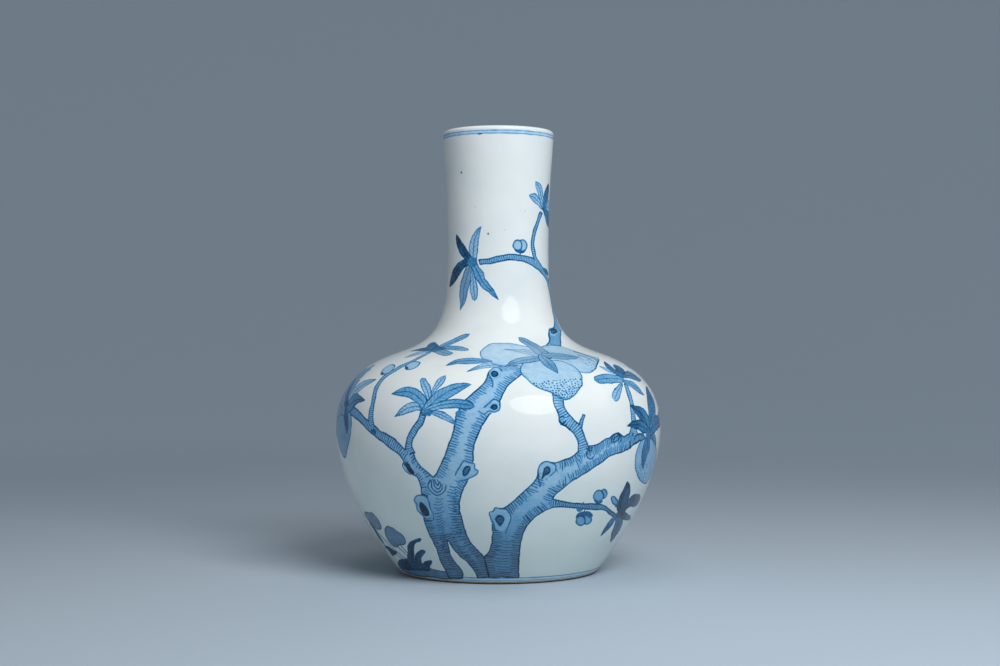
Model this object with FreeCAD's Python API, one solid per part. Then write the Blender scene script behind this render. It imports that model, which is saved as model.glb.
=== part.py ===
import FreeCAD, Part
import math
import os
from FreeCAD import Vector

# A globular bottle vase of glazed porcelain, built as it is thrown: a foot
# ring with its base, two bowls, a neck, the slip that joins them and the
# glaze. Millimetres, +Z up. The origin is the centre of the ring it stands on.

# Outer shape, measured over the glaze
vase_height = 360.0
foot_radius = 80.6
belly_radius = 133.1
belly_height = 117.0
neck_radius = 41.4
neck_waist_height = 262.0
lip_radius = 45.6

# Walls with their glaze, and the glaze alone
foot_wall = 9.2
belly_wall = 6.2
neck_wall = 4.6
lip_thickness = 5.2
glaze_thickness = 0.6

# Foot ring and the base that rests on it
foot_ring_width = 7.0
foot_ring_height = 8.0
foot_edge_round = 1.3
bare_foot_height = 2.2
base_thickness = 8.0
base_ledge = 4.0
floor_curve_height = 5.0

# Slip joints between the thrown sections, each with a low bead inside
belly_seam_width = 3.0
neck_seam_width = 2.4
neck_seam_height = 197.0
seam_bead = 1.4
seam_bead_reach = 6.0

# Spacing of the points that the wall's offset lines pass through
section_step = 9.0

# Outer line from foot to belly: shares of the way out and of the way up
lower_shares = [
    (0.0, 0.0), (0.096, 0.051), (0.222, 0.13), (0.413, 0.256), (0.632, 0.427),
    (0.838, 0.641), (0.951, 0.812), (1.0, 1.0),
]
# From the belly to the neck's waist: shares of the way in and of the way up
upper_shares = [
    (0.023, 0.124), (0.11, 0.241), (0.251, 0.331), (0.474, 0.407), (0.724, 0.469),
    (0.851, 0.531), (0.9165, 0.6), (0.9625, 0.683), (0.989, 0.793), (1.0, 1.0),
]
# From the waist to the lip: shares of the way out and of the way up
flare_shares = [(0.045, 0.199), (0.212, 0.461), (0.58, 0.723), (0.838, 0.88), (1.0, 1.0)]
# Where a rounded corner's middle lies, from the corner to the middle of its chord
corner_share = 0.586

# Sizes that follow from those above
lip_centre_height = vase_height - lip_thickness / 2
foot_inner_radius = foot_radius - foot_ring_width
base_radius = foot_inner_radius + base_ledge
floor_height = foot_ring_height + base_thickness

full_turn = 360
axis_start = Vector(0, 0, 0)
axis_direction = Vector(0, 0, 1)
outward = Vector(1, 0, 0)


def between(start, end, share):
    """Value that lies a share of the way from start to end."""
    return start + (end - start) * share


def at(radius, height):
    """Point of the half section."""
    return Vector(radius, 0, height)


def outline_points():
    """Points of the glazed outside, from the foot to the side of the lip."""
    sections = [
        (lower_shares, foot_radius, belly_radius, 0, belly_height),
        (upper_shares, belly_radius, neck_radius, belly_height, neck_waist_height),
        (flare_shares, neck_radius, lip_radius, neck_waist_height, lip_centre_height),
    ]
    points = []
    for shares, first_radius, last_radius, low, high in sections:
        for across, up in shares:
            points.append(at(between(first_radius, last_radius, across),
                             between(low, high, up)))
    return points


def chord_parameters(points):
    """Running chord length of a row of points."""
    lengths = [0.0]
    for first, second in zip(points, points[1:]):
        lengths.append(lengths[-1] + first.distanceToPoint(second))
    return lengths


def smooth_curve(points, parameters):
    """Smooth curve that passes through points at the given parameters."""
    curve = Part.BSplineCurve()
    curve.interpolate(Points=points, Parameters=parameters)
    return curve


def parameter_at_height(curve, height):
    """Parameter at which a rising curve reaches a height, found by halving."""
    low, high = curve.FirstParameter, curve.LastParameter
    while high - low > glaze_thickness / vase_height:
        middle = (low + high) / 2
        if curve.value(middle).z < height:
            low = middle
        else:
            high = middle
    return (low + high) / 2


outline = outline_points()
outline_parameters = chord_parameters(outline)
outer_line = smooth_curve(outline, outline_parameters)
top_parameter = outline_parameters[-1]
belly_seam = outline_parameters[len(lower_shares) - 1]
neck_seam = parameter_at_height(outer_line, neck_seam_height)


def wall_depth(parameter):
    """Wall thickness with its glaze at a place along the outer line."""
    height = outer_line.value(parameter).z
    stations = [
        (0, foot_wall), (belly_height, belly_wall),
        (neck_waist_height, neck_wall), (lip_centre_height, lip_thickness),
    ]
    depth = lip_thickness
    for (low, below), (high, above) in zip(stations, stations[1:]):
        if low <= height < high:
            turn = math.pi * (height - low) / (high - low)
            depth = between(below, above, (1 - math.cos(turn)) / 2)
    for seam in (belly_seam, neck_seam):
        reach = (parameter - seam) / seam_bead_reach
        if abs(reach) < 1:
            depth += seam_bead * (1 - reach ** 2) ** 2
    return depth


def inside_point(parameter, depth):
    """Point that lies square to the outer line, at a depth in the wall."""
    along = outer_line.tangent(parameter)[0]
    return outer_line.value(parameter) + Vector(-along.z, 0, along.x) * depth


def even_parameters(start):
    """Parameters from a start to the lip, evenly spaced and closer at the seams."""
    count = math.ceil((top_parameter - start) / section_step)
    spaced = [between(start, top_parameter, step / count) for step in range(count + 1)]
    for seam in (belly_seam, neck_seam):
        clear = seam_bead_reach + section_step / 3
        spaced = [u for u in spaced if abs(u - seam) > clear]
        spaced += [seam + seam_bead_reach * part / 2 for part in range(-2, 3)]
    return sorted(spaced)


def clay_line():
    """Line under the outer glaze, at the outer line's own parameters."""
    parameters = even_parameters(0.0)
    return smooth_curve([inside_point(u, glaze_thickness) for u in parameters], parameters)


def inner_line(cover):
    """Inside of the wall, from the edge of the base to the lip.

    cover is the depth of glaze left on: none for the clay, all for the glazed face.
    """
    skin = glaze_thickness - cover
    start = at(base_radius, floor_height + cover)
    first = parameter_at_height(outer_line, floor_height + floor_curve_height - foot_wall / 2)
    parameters = even_parameters(first)
    points = [inside_point(u, wall_depth(u) - skin) for u in parameters]
    reach = start.distanceToPoint(points[0])
    curve = Part.BSplineCurve()
    curve.interpolate(Points=[start] + points, Parameters=[parameters[0] - reach] + parameters,
                      InitialTangent=outward, FinalTangent=outer_line.tangent(top_parameter)[0],
                      Scale=False)
    return curve


clay_outside = clay_line()
clay_inside = inner_line(0.0)
glazed_inside = inner_line(glaze_thickness)


def stretch(curve, low, high):
    """Piece of a curve between two parameters."""
    return curve.toShape(low, high)


def line(start, end):
    """Straight edge between two points."""
    return Part.LineSegment(start, end).toShape()


def arc(start, middle, end):
    """Round edge through three points."""
    return Part.Arc(start, middle, end).toShape()


def rounded(start, corner, end):
    """Round edge that cuts a corner."""
    chord_middle = (start + end) / 2
    return arc(start, corner + (chord_middle - corner) * corner_share, end)


def revolve(edges):
    """Solid of revolution of a closed half section."""
    face = Part.Face(Part.Wire(Part.__sortEdges__(edges)))
    solid = face.revolve(axis_start, axis_direction, full_turn)
    if solid.Volume < 0:
        solid.reverse()
    return solid


def wall_section(low, high):
    """Ring of clay wall between two parameters, cut square to the wall."""
    return revolve([
        stretch(clay_outside, low, high), stretch(clay_inside, low, high),
        line(clay_outside.value(low), clay_inside.value(low)),
        line(clay_outside.value(high), clay_inside.value(high)),
    ])


def foot_ring():
    """Ring the vase stands on, with rounded edges at the table."""
    edge = parameter_at_height(clay_outside, foot_edge_round)
    top = parameter_at_height(clay_outside, foot_ring_height)
    side = clay_outside.value(edge)
    shoulder = clay_outside.value(top)
    outer_toe = at(side.x - foot_edge_round, 0)
    inner_toe = at(foot_inner_radius + foot_edge_round, 0)
    inner_side = at(foot_inner_radius, foot_edge_round)
    inner_top = at(foot_inner_radius, shoulder.z)
    return revolve([
        stretch(clay_outside, edge, top), rounded(side, at(side.x, 0), outer_toe),
        line(outer_toe, inner_toe), rounded(inner_toe, at(foot_inner_radius, 0), inner_side),
        line(inner_side, inner_top), line(inner_top, shoulder),
    ])


def base_disc():
    """Floor of the vase, a disc that rests on the foot ring."""
    return Part.makeCylinder(base_radius, base_thickness, at(0, foot_ring_height))


def lower_belly():
    """Lower bowl of the globe, from the foot ring to the belly's seam."""
    bottom = parameter_at_height(clay_outside, foot_ring_height)
    top = belly_seam - belly_seam_width / 2
    start = clay_inside.FirstParameter
    heel = at(base_radius, clay_outside.value(bottom).z)
    return revolve([
        stretch(clay_outside, bottom, top), stretch(clay_inside, start, top),
        line(clay_outside.value(bottom), heel), line(heel, clay_inside.value(start)),
        line(clay_outside.value(top), clay_inside.value(top)),
    ])


def lip_arc(outer, inner, height):
    """Rounded top of the lip between its outer and its inner side."""
    return arc(outer, at((outer.x + inner.x) / 2, height), inner)


def neck():
    """Thrown neck, from the neck's seam to its rounded lip."""
    low = neck_seam + neck_seam_width / 2
    outer = clay_outside.value(top_parameter)
    inner = clay_inside.value(top_parameter)
    return revolve([
        stretch(clay_outside, low, top_parameter), stretch(clay_inside, low, top_parameter),
        line(clay_outside.value(low), clay_inside.value(low)),
        lip_arc(outer, inner, vase_height - glaze_thickness),
    ])


def outer_glaze():
    """Glaze over the outside, from just above the foot's edge over the lip."""
    low = parameter_at_height(outer_line, bare_foot_height)
    outer = outer_line.value(top_parameter)
    inner = glazed_inside.value(top_parameter)
    clay_outer = clay_outside.value(top_parameter)
    clay_inner = clay_inside.value(top_parameter)
    return revolve([
        stretch(outer_line, low, top_parameter), stretch(clay_outside, low, top_parameter),
        line(outer_line.value(low), clay_outside.value(low)),
        lip_arc(outer, inner, vase_height),
        lip_arc(clay_outer, clay_inner, vase_height - glaze_thickness),
        line(inner, clay_inner),
    ])


def inner_glaze():
    """Glaze inside the neck and the globe, and over the floor."""
    clay_start = clay_inside.value(clay_inside.FirstParameter)
    glaze_start = glazed_inside.value(glazed_inside.FirstParameter)
    floor_centre = at(0, clay_start.z)
    glaze_centre = at(0, glaze_start.z)
    return revolve([
        stretch(clay_inside, clay_inside.FirstParameter, top_parameter),
        stretch(glazed_inside, glazed_inside.FirstParameter, top_parameter),
        line(clay_inside.value(top_parameter), glazed_inside.value(top_parameter)),
        line(clay_start, floor_centre), line(floor_centre, glaze_centre),
        line(glaze_centre, glaze_start),
    ])


def base_glaze():
    """Glaze on the recessed underside and down the inside of the foot ring."""
    ceiling = foot_ring_height - glaze_thickness
    face_radius = foot_inner_radius - glaze_thickness
    corners = [
        at(0, ceiling), at(face_radius, ceiling), at(face_radius, bare_foot_height),
        at(foot_inner_radius, bare_foot_height), at(foot_inner_radius, foot_ring_height),
        at(0, foot_ring_height),
    ]
    return revolve([line(a, b) for a, b in zip(corners, corners[1:] + corners[:1])])


nodes = {
    "foot_ring": foot_ring(),
    "base_disc": base_disc(),
    "lower_belly": lower_belly(),
    "belly_slip_seam": wall_section(belly_seam - belly_seam_width / 2,
                                    belly_seam + belly_seam_width / 2),
    "upper_belly": wall_section(belly_seam + belly_seam_width / 2,
                                neck_seam - neck_seam_width / 2),
    "neck_slip_seam": wall_section(neck_seam - neck_seam_width / 2,
                                   neck_seam + neck_seam_width / 2),
    "neck": neck(),
    "outer_glaze": outer_glaze(),
    "inner_glaze": inner_glaze(),
    "base_glaze": base_glaze(),
}

os.makedirs("parts", exist_ok=True)
for name, solid in nodes.items():
    box = solid.BoundBox
    print(name, "valid", solid.isValid(), "solids", len(solid.Solids),
          "volume %.0f" % solid.Volume, "z %.2f to %.2f" % (box.ZMin, box.ZMax))
    solid.exportStep("parts/%s.step" % name)
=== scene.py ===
"""A globular bottle vase of white porcelain, painted in cobalt blue under its glaze.

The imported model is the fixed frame. The outer glaze is drawn again here as a fine
skin that carries the painting. Every other piece keeps its own shape and gets its
finish. Blender's lengths are in metres; the painting works in millimetres, by the
angle round the vase and the arc length up its wall.
"""

import logging
import math
from collections.abc import Sequence
from dataclasses import dataclass, field
from enum import Enum
from typing import ClassVar

import bpy
import numpy as np
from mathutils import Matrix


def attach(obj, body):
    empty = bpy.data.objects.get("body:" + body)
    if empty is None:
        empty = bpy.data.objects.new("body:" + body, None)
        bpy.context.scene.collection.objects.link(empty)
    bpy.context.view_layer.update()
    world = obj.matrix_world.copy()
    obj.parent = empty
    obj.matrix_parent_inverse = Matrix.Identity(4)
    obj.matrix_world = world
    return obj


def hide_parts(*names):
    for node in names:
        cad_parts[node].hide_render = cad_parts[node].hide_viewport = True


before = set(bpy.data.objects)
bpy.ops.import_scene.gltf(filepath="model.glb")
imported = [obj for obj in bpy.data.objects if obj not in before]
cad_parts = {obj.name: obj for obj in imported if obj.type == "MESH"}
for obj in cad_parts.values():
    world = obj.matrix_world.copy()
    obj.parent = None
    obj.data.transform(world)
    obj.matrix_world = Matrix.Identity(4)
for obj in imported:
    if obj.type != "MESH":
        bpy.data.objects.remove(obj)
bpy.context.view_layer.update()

Point = tuple[float, float]
Points = Sequence[Point]

MM = 0.001
FULL_TURN = 2 * math.pi
TINY, FAR_OFF = 1e-6, 99.0
PIGMENTS = ("cobalt", "grey", "iron")

log = logging.getLogger("vase")


def linear(colour: str) -> tuple[float, float, float, float]:
    """Turns an sRGB hex colour into the linear one that the nodes use.

    Args:
        colour: Six hex digits.

    Returns:
        Red, green, blue and a full alpha.
    """
    shares = [int(colour[i:i + 2], 16) / 255 for i in (0, 2, 4)]
    return (*[c / 12.92 if c <= 0.04045 else ((c + 0.055) / 1.055) ** 2.4 for c in shares], 1.0)


def soft_step(low: float, high: float, value: np.ndarray) -> np.ndarray:
    """Rises smoothly from 0 at low to 1 at high.

    Args:
        low: Where the rise starts.
        high: Where it ends. It may be the lower of the two, for a fall.
        value: The numbers to weigh.

    Returns:
        Shares from 0 to 1.
    """
    share = np.clip((value - low) / (high - low), 0.0, 1.0)
    return share * share * (3.0 - 2.0 * share)


def scatter(number: np.ndarray, seed: float) -> np.ndarray:
    """Gives each whole number a share from 0 to 1 that looks random.

    Args:
        number: Whole numbers, such as the count of a brush stroke.
        seed: Sets one scatter apart from another.

    Returns:
        One share for each number.
    """
    spread = np.sin(number * 12.9898 + seed * 78.233) * 43758.5453
    return spread - np.floor(spread)


def rounded_line(points: Points, closed: bool = False, steps: int = 4) -> np.ndarray:
    """Draws a smooth line through points, which may lie at uneven distances.

    Args:
        points: The places that the line goes through.
        closed: Whether it returns to its first point.
        steps: How many pieces each stretch between two points gets.

    Returns:
        The line's points, without a repeat of the first one where it is closed.
    """
    spots = np.array(points, float)
    if closed:
        spots = np.vstack([spots[-1:], spots, spots[:2]])
    else:
        spots = np.vstack([2 * spots[:1] - spots[1:2], spots, 2 * spots[-1:] - spots[-2:-1]])
    chords = np.maximum(np.linalg.norm(np.diff(spots, axis=0), axis=1), TINY)
    slopes = np.diff(spots, axis=0) / chords[:, None]
    weights = chords[1:] + chords[:-1]
    tangents = (slopes[:-1] * chords[1:, None] + slopes[1:] * chords[:-1, None]) / weights[:, None]
    line = []
    for i in range(len(tangents) - 1):
        start, end, chord = spots[i + 1], spots[i + 2], chords[i + 1]
        for share in np.arange(steps) / steps:
            square, cube = share ** 2, share ** 3
            line.append(
                (2 * cube - 3 * square + 1) * start + (cube - 2 * square + share) * chord * tangents[i]
                + (3 * square - 2 * cube) * end + (cube - square) * chord * tangents[i + 1])
    if not closed:
        line.append(spots[-2])
    return np.array(line)


def run_lengths(line: np.ndarray) -> np.ndarray:
    """Running length at each point of a line, from 0 at the first."""
    return np.r_[0.0, np.cumsum(np.linalg.norm(np.diff(line, axis=0), axis=1))]


def sideways(line: np.ndarray) -> np.ndarray:
    """Direction square to a line at each of its points, to the right of one that rises."""
    ways = np.gradient(line, axis=0)
    return np.c_[ways[:, 1], -ways[:, 0]] / np.linalg.norm(ways, axis=1)[:, None]


def turned(x: np.ndarray, y: np.ndarray, degrees: float) -> tuple[np.ndarray, np.ndarray]:
    """Places turned about the origin."""
    sine, cosine = math.sin(math.radians(degrees)), math.cos(math.radians(degrees))
    return x * cosine - y * sine, x * sine + y * cosine


def even_line(line: np.ndarray, count: int) -> np.ndarray:
    """Spreads points evenly along a line.

    Args:
        line: The line's points, at any distances.
        count: How many points the new line gets.

    Returns:
        The new line's points.
    """
    lengths = run_lengths(line)
    where = np.linspace(0.0, lengths[-1], count)
    return np.c_[np.interp(where, lengths, line[:, 0]), np.interp(where, lengths, line[:, 1])]


def read_rows(items: bpy.types.bpy_prop_collection, name: str, kind: type, width: int = 3) -> np.ndarray:
    """Reads a property of a mesh's items.

    Args:
        items: The mesh's vertices, faces or corners.
        name: The property.
        kind: The type of its numbers.
        width: How many numbers each item has.

    Returns:
        The numbers in rows of three.
    """
    values = np.empty(len(items) * width, kind)
    items.foreach_get(name, values)
    return values.reshape(-1, 3)


def add_object(name: str, data: bpy.types.ID) -> bpy.types.Object:
    """Makes an object and puts it in the scene.

    Args:
        name: Its name.
        data: Its mesh, lamp or camera.

    Returns:
        The object.
    """
    thing = bpy.data.objects.new(name, data)
    bpy.context.scene.collection.objects.link(thing)
    return thing


@dataclass
class TurnedProfile:
    """The glazed vase's outer line, from the glaze's lower edge to the side of the lip.

    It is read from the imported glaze, so the skin lies where the solid does.
    """

    glaze: bpy.types.Object
    least_outward: float = 0.3
    lip_share: float = 0.95
    knot_gap_mm: float = 1.5
    samples: int = 6000
    arcs: np.ndarray = field(init=False)
    radii: np.ndarray = field(init=False)
    heights: np.ndarray = field(init=False)

    def __post_init__(self) -> None:
        """Fits a smooth line through the corners of the glaze's outward faces."""
        knots = self._knots()
        chords = run_lengths(knots)
        line = self._spline(chords, knots, np.linspace(0.0, chords[-1], self.samples))
        self.arcs = run_lengths(line)
        self.radii, self.heights = line.T

    def _knots(self) -> np.ndarray:
        """Picks outward corners, no closer to each other than the knots' gap.

        Returns:
            Radius and height of each, from the lowest to the lip.
        """
        mesh = self.glaze.data
        spots = read_rows(mesh.vertices, "co", np.float32) / MM
        normals = read_rows(mesh.polygons, "normal", np.float32)
        corners = read_rows(mesh.loops, "vertex_index", np.int32, 1)
        middles = spots[corners].mean(axis=1)
        reach = np.hypot(middles[:, 0], middles[:, 1])
        outward = (normals[:, :2] * middles[:, :2]).sum(axis=1) > self.least_outward * reach
        chosen = spots[np.unique(corners[outward])]
        section = np.c_[np.hypot(chosen[:, 0], chosen[:, 1]), chosen[:, 2]]
        section = section[np.argsort(section[:, 1])]
        lip = section[section[:, 1] > self.lip_share * section[-1, 1]]
        rim = lip[np.argmax(lip[:, 0])]
        section = section[section[:, 1] <= rim[1]]
        kept = [section[0]]
        for spot in section[1:]:
            clear = np.hypot(*(rim - spot)) > self.knot_gap_mm / 2
            if clear and np.hypot(*(spot - kept[-1])) > self.knot_gap_mm:
                kept.append(spot)
        return np.array(kept + [rim])

    @staticmethod
    def _spline(knots: np.ndarray, values: np.ndarray, where: np.ndarray) -> np.ndarray:
        """Gives a natural cubic spline's values.

        Args:
            knots: Rising places of the known values.
            values: One row of known values for each knot.
            where: The places asked for.

        Returns:
            One row of values for each place.
        """
        count = len(knots)
        gaps = np.diff(knots)
        matrix = np.eye(count)
        right = np.zeros_like(values)
        for i in range(1, count - 1):
            matrix[i, i - 1:i + 2] = gaps[i - 1], 2 * (gaps[i - 1] + gaps[i]), gaps[i]
            right[i] = 6 * ((values[i + 1] - values[i]) / gaps[i]
                            - (values[i] - values[i - 1]) / gaps[i - 1])
        bends = np.linalg.solve(matrix, right)
        span = np.clip(np.searchsorted(knots, where) - 1, 0, count - 2)
        gap = gaps[span][:, None]
        before = (where - knots[span])[:, None]
        after = gap - before
        return ((bends[span] * after ** 3 + bends[span + 1] * before ** 3) / (6 * gap)
                + (values[span] / gap - bends[span] * gap / 6) * after
                + (values[span + 1] / gap - bends[span + 1] * gap / 6) * before)

    @property
    def length(self) -> float:
        """Arc length of the whole line in millimetres."""
        return float(self.arcs[-1])

    def at_arc(self, arcs: np.ndarray) -> tuple[np.ndarray, np.ndarray]:
        """Radius and height at arc lengths."""
        return np.interp(arcs, self.arcs, self.radii), np.interp(arcs, self.arcs, self.heights)

    def radius_at_height(self, heights: np.ndarray | float) -> np.ndarray:
        """Radius of the wall at heights."""
        return np.interp(heights, self.heights, self.radii)

    def arc_at_height(self, heights: np.ndarray | float) -> np.ndarray:
        """Arc length at heights."""
        return np.interp(heights, self.heights, self.arcs)


@dataclass
class PhotoCamera:
    """The photograph's camera, level with the vase's middle and almost square to it."""

    image_width: int = 1000
    image_height: int = 666
    focal_px: float = 1604.0
    axis_column: float = 498.3
    horizon_row: float = 338.4
    distance_mm: float = 1321.0
    eye_height_mm: float = 190.1
    sensor_mm: float = 36.0
    nearest_m: float = 0.05

    @property
    def pitch(self) -> float:
        """How far the view tilts up, in radians."""
        return math.atan((self.horizon_row - self.image_height / 2) / self.focal_px)

    @property
    def eye(self) -> np.ndarray:
        """The camera's place in millimetres."""
        aside = (self.image_width / 2 - self.axis_column) / self.focal_px * self.distance_mm
        return np.array([aside, -self.distance_mm, self.eye_height_mm])

    def rays(self, points: np.ndarray) -> np.ndarray:
        """Directions in which the camera sees places of the image.

        Args:
            points: Columns and rows of the image.

        Returns:
            One direction for each place, one long along the view's own axis.
        """
        aside = (points[:, 0] - self.image_width / 2) / self.focal_px
        up = (self.image_height / 2 - points[:, 1]) / self.focal_px
        sine, cosine = math.sin(self.pitch), math.cos(self.pitch)
        return np.c_[aside, cosine - up * sine, sine + up * cosine]

    def build(self) -> bpy.types.Object:
        """Makes the camera and gives it to the scene.

        Returns:
            The camera.
        """
        data = bpy.data.cameras.new("photo_camera")
        data.sensor_fit = "HORIZONTAL"
        data.sensor_width = self.sensor_mm
        data.lens = self.focal_px / self.image_width * self.sensor_mm
        data.clip_start = self.nearest_m
        camera = add_object("photo_camera", data)
        camera.location = self.eye * MM
        camera.rotation_euler = (math.pi / 2 + self.pitch, 0.0, 0.0)
        bpy.context.scene.camera = camera
        return camera


@dataclass
class PhotoSheet:
    """Carries places of the photograph's frame on to the vase's wall."""

    camera: PhotoCamera
    profile: TurnedProfile
    steps: int = 260
    spare_room: float = 1.1

    def place(self, points: Points | np.ndarray) -> np.ndarray:
        """Finds where the camera's rays meet the wall, or pass it closest.

        Args:
            points: Columns and rows of the image.

        Returns:
            One row for each place: angle round the vase and arc length up its wall.
        """
        rays = self.camera.rays(np.atleast_2d(np.array(points, float)))
        eye = self.camera.eye
        nearest = self.camera.distance_mm - self.spare_room * self.profile.radii.max()
        along = np.linspace(nearest, self.camera.distance_mm, self.steps)
        spots = eye + rays[:, None, :] * along[None, :, None]
        gaps = (np.hypot(spots[..., 0], spots[..., 1])
                - self.profile.radius_at_height(spots[..., 2]))
        inside = gaps < 0
        hit = np.where(inside.any(axis=1), inside.argmax(axis=1), gaps.argmin(axis=1))
        hit = np.maximum(hit, 1)
        row = np.arange(len(rays))
        before, after = gaps[row, hit - 1], gaps[row, hit]
        crossing = inside.any(axis=1)
        share = np.where(crossing, before / np.where(crossing, before - after, 1.0), 1.0)
        reach = along[hit - 1] + share * (along[hit] - along[hit - 1])
        met = eye + rays * reach[:, None]
        return np.c_[np.arctan2(met[:, 0], -met[:, 1]), self.profile.arc_at_height(met[:, 2])]


@dataclass
class WrappedSheet:
    """Wraps a drawing round the wall without stretching it.

    root is the place of the drawing that comes to lie turn_degrees round from the front,
    at height_mm. mirrored swaps left and right, and lean_degrees tips it to the right.
    """

    profile: TurnedProfile
    root: Point
    turn_degrees: float
    height_mm: float
    scale_mm: float = 1.0
    mirrored: bool = False
    lean_degrees: float = 0.0

    def place(self, points: Points | np.ndarray) -> np.ndarray:
        """Finds where places of the drawing come to lie.

        Args:
            points: Places to the right of and below the drawing's origin.

        Returns:
            One row for each place: angle round the vase and arc length up its wall.
        """
        aside, down = ((np.atleast_2d(np.array(points, float)) - self.root) * self.scale_mm).T
        aside, down = turned(-aside if self.mirrored else aside, down, self.lean_degrees)
        arc = self.profile.arc_at_height(self.height_mm)
        radius = self.profile.radius_at_height(self.height_mm)
        return np.c_[math.radians(self.turn_degrees) + aside / radius, arc - down]


Sheet = PhotoSheet | WrappedSheet


@dataclass
class Patch:
    """A window of the canvas with the place of each of its spots, and how the wash dapples there."""

    rows: np.ndarray
    columns: np.ndarray
    angles: np.ndarray
    arcs: np.ndarray
    radii: np.ndarray
    dapple: np.ndarray

    @property
    def grid(self) -> tuple[np.ndarray, np.ndarray]:
        """Index of the window in the canvas's arrays."""
        return np.ix_(self.rows, self.columns)

    def to(self, place: np.ndarray) -> tuple[np.ndarray, np.ndarray]:
        """Millimetres round and up the wall from each spot to a place."""
        return self.radii * (place[0] - self.angles), place[1] - self.arcs


class Canvas:
    """The vase's outside in rows and columns, with the pigment that lies on each spot."""

    SWAY_MM, SHAKE_MM = 0.15, 0.04
    LONG_WAVE_MM, SHORT_WAVE_MM, DAPPLE_MM = 9.0, 3.0, 3.2

    def __init__(self, profile: TurnedProfile, columns: int, row_step_mm: float, block: int) -> None:
        """Lays out an empty canvas.

        Args:
            profile: The wall's line.
            columns: Spots round the vase.
            row_step_mm: Height of a row along the wall.
            block: Number of rows and columns that one plain face may take.
        """
        rows = math.ceil(profile.length / row_step_mm / block) * block
        self.profile = profile
        self.columns = columns
        self.row_arcs = np.linspace(0.0, profile.length, rows + 1)
        self.radii, self.heights = profile.at_arc(self.row_arcs)
        self.step = FULL_TURN / columns
        self.cobalt, self.grey, self.iron = (np.zeros((rows + 1, columns), np.float32) for _ in PIGMENTS)
        self.sway_aside, self.sway_up = (
            self.SWAY_MM * self.waves(self.LONG_WAVE_MM, seed)
            + self.SHAKE_MM * self.waves(self.SHORT_WAVE_MM, seed + 1) for seed in (1, 3))
        self.dapple = 0.5 * self.waves(self.LONG_WAVE_MM, 5) + 0.5 * self.waves(self.DAPPLE_MM, 6)

    def waves(self, wavelength_mm: float, seed: int, count: int = 12) -> np.ndarray:
        """Makes an even ripple over the whole wall.

        Args:
            wavelength_mm: Usual distance from crest to crest.
            seed: Sets one ripple apart from another.
            count: How many plain waves are added up.

        Returns:
            One number for each spot, mostly from -1 to 1.
        """
        draw = np.random.default_rng(seed)
        angles = (np.arange(self.columns) * self.step).astype(np.float32)
        radii = self.radii.astype(np.float32)[:, None]
        x, y = radii * np.sin(angles), -radii * np.cos(angles)
        z = self.heights.astype(np.float32)[:, None]
        total = np.zeros_like(self.cobalt)
        for _ in range(count):
            way = draw.normal(size=3)
            way *= FULL_TURN / wavelength_mm * draw.uniform(0.75, 1.35) / np.linalg.norm(way)
            total += np.sin(way[0] * x + way[1] * y + way[2] * z + draw.uniform(0, FULL_TURN))
        return total / math.sqrt(count / 2)

    def patch(self, places: np.ndarray, margin_mm: float) -> Patch:
        """Opens the window round some places.

        Args:
            places: Angles and arc lengths.
            margin_mm: How far the window reaches past them.

        Returns:
            The window, each of its spots moved a little as a hand moves.
        """
        low, high = places[:, 1].min() - margin_mm, places[:, 1].max() + margin_mm
        first = max(int(np.searchsorted(self.row_arcs, low)) - 1, 0)
        last = min(int(np.searchsorted(self.row_arcs, high)) + 1, len(self.row_arcs))
        rows = np.arange(first, max(last, first + 2))
        rows = rows[rows < len(self.row_arcs)]
        slim = self.radii[rows].min()
        left = math.floor((places[:, 0].min() - margin_mm / slim) / self.step)
        right = math.ceil((places[:, 0].max() + margin_mm / slim) / self.step)
        right = min(right, left + self.columns - 1)
        spots = np.arange(left, right + 1)
        columns = spots % self.columns
        grid = np.ix_(rows, columns)
        radii = self.radii[rows].astype(np.float32)[:, None]
        angles = (spots * self.step).astype(np.float32) + self.sway_aside[grid] / radii
        arcs = self.row_arcs[rows].astype(np.float32)[:, None] + self.sway_up[grid]
        return Patch(rows, columns, angles, arcs, radii, self.dapple[grid])

    def lay(self, patch: Patch, cover: np.ndarray, load: np.ndarray | float, grey: np.ndarray | float = 0.0) -> None:
        """Lays a wash over what is there.

        Args:
            patch: The window.
            cover: Share of each spot that the brush covers.
            load: Amount of cobalt in the brush.
            grey: Share of grey in this cobalt.
        """
        there, tint = self.cobalt[patch.grid], self.grey[patch.grid]
        self.cobalt[patch.grid] = there + (load - there) * cover
        self.grey[patch.grid] = tint + (grey - tint) * cover

    def draw(self, patch: Patch, cover: np.ndarray, load: np.ndarray | float) -> None:
        """Draws lines, which show where they are darker than what is there.

        Args:
            patch: The window.
            cover: Share of each spot that the brush covers.
            load: Amount of cobalt in the brush.
        """
        there = self.cobalt[patch.grid]
        self.cobalt[patch.grid] = np.maximum(there, there + (load - there) * cover)
        self.grey[patch.grid] *= 1.0 - cover


def line_lengths(canvas: Canvas, line: np.ndarray) -> np.ndarray:
    """Gives the running length of a line on the wall.

    Args:
        canvas: The canvas that it lies on.
        line: The line's places.

    Returns:
        Millimetres at each place, from 0 at the first.
    """
    middle = (line[1:, 1] + line[:-1, 1]) / 2
    radii = canvas.profile.at_arc(middle)[0]
    return np.r_[0.0, np.cumsum(np.hypot(radii * np.diff(line[:, 0]), np.diff(line[:, 1])))]


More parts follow.
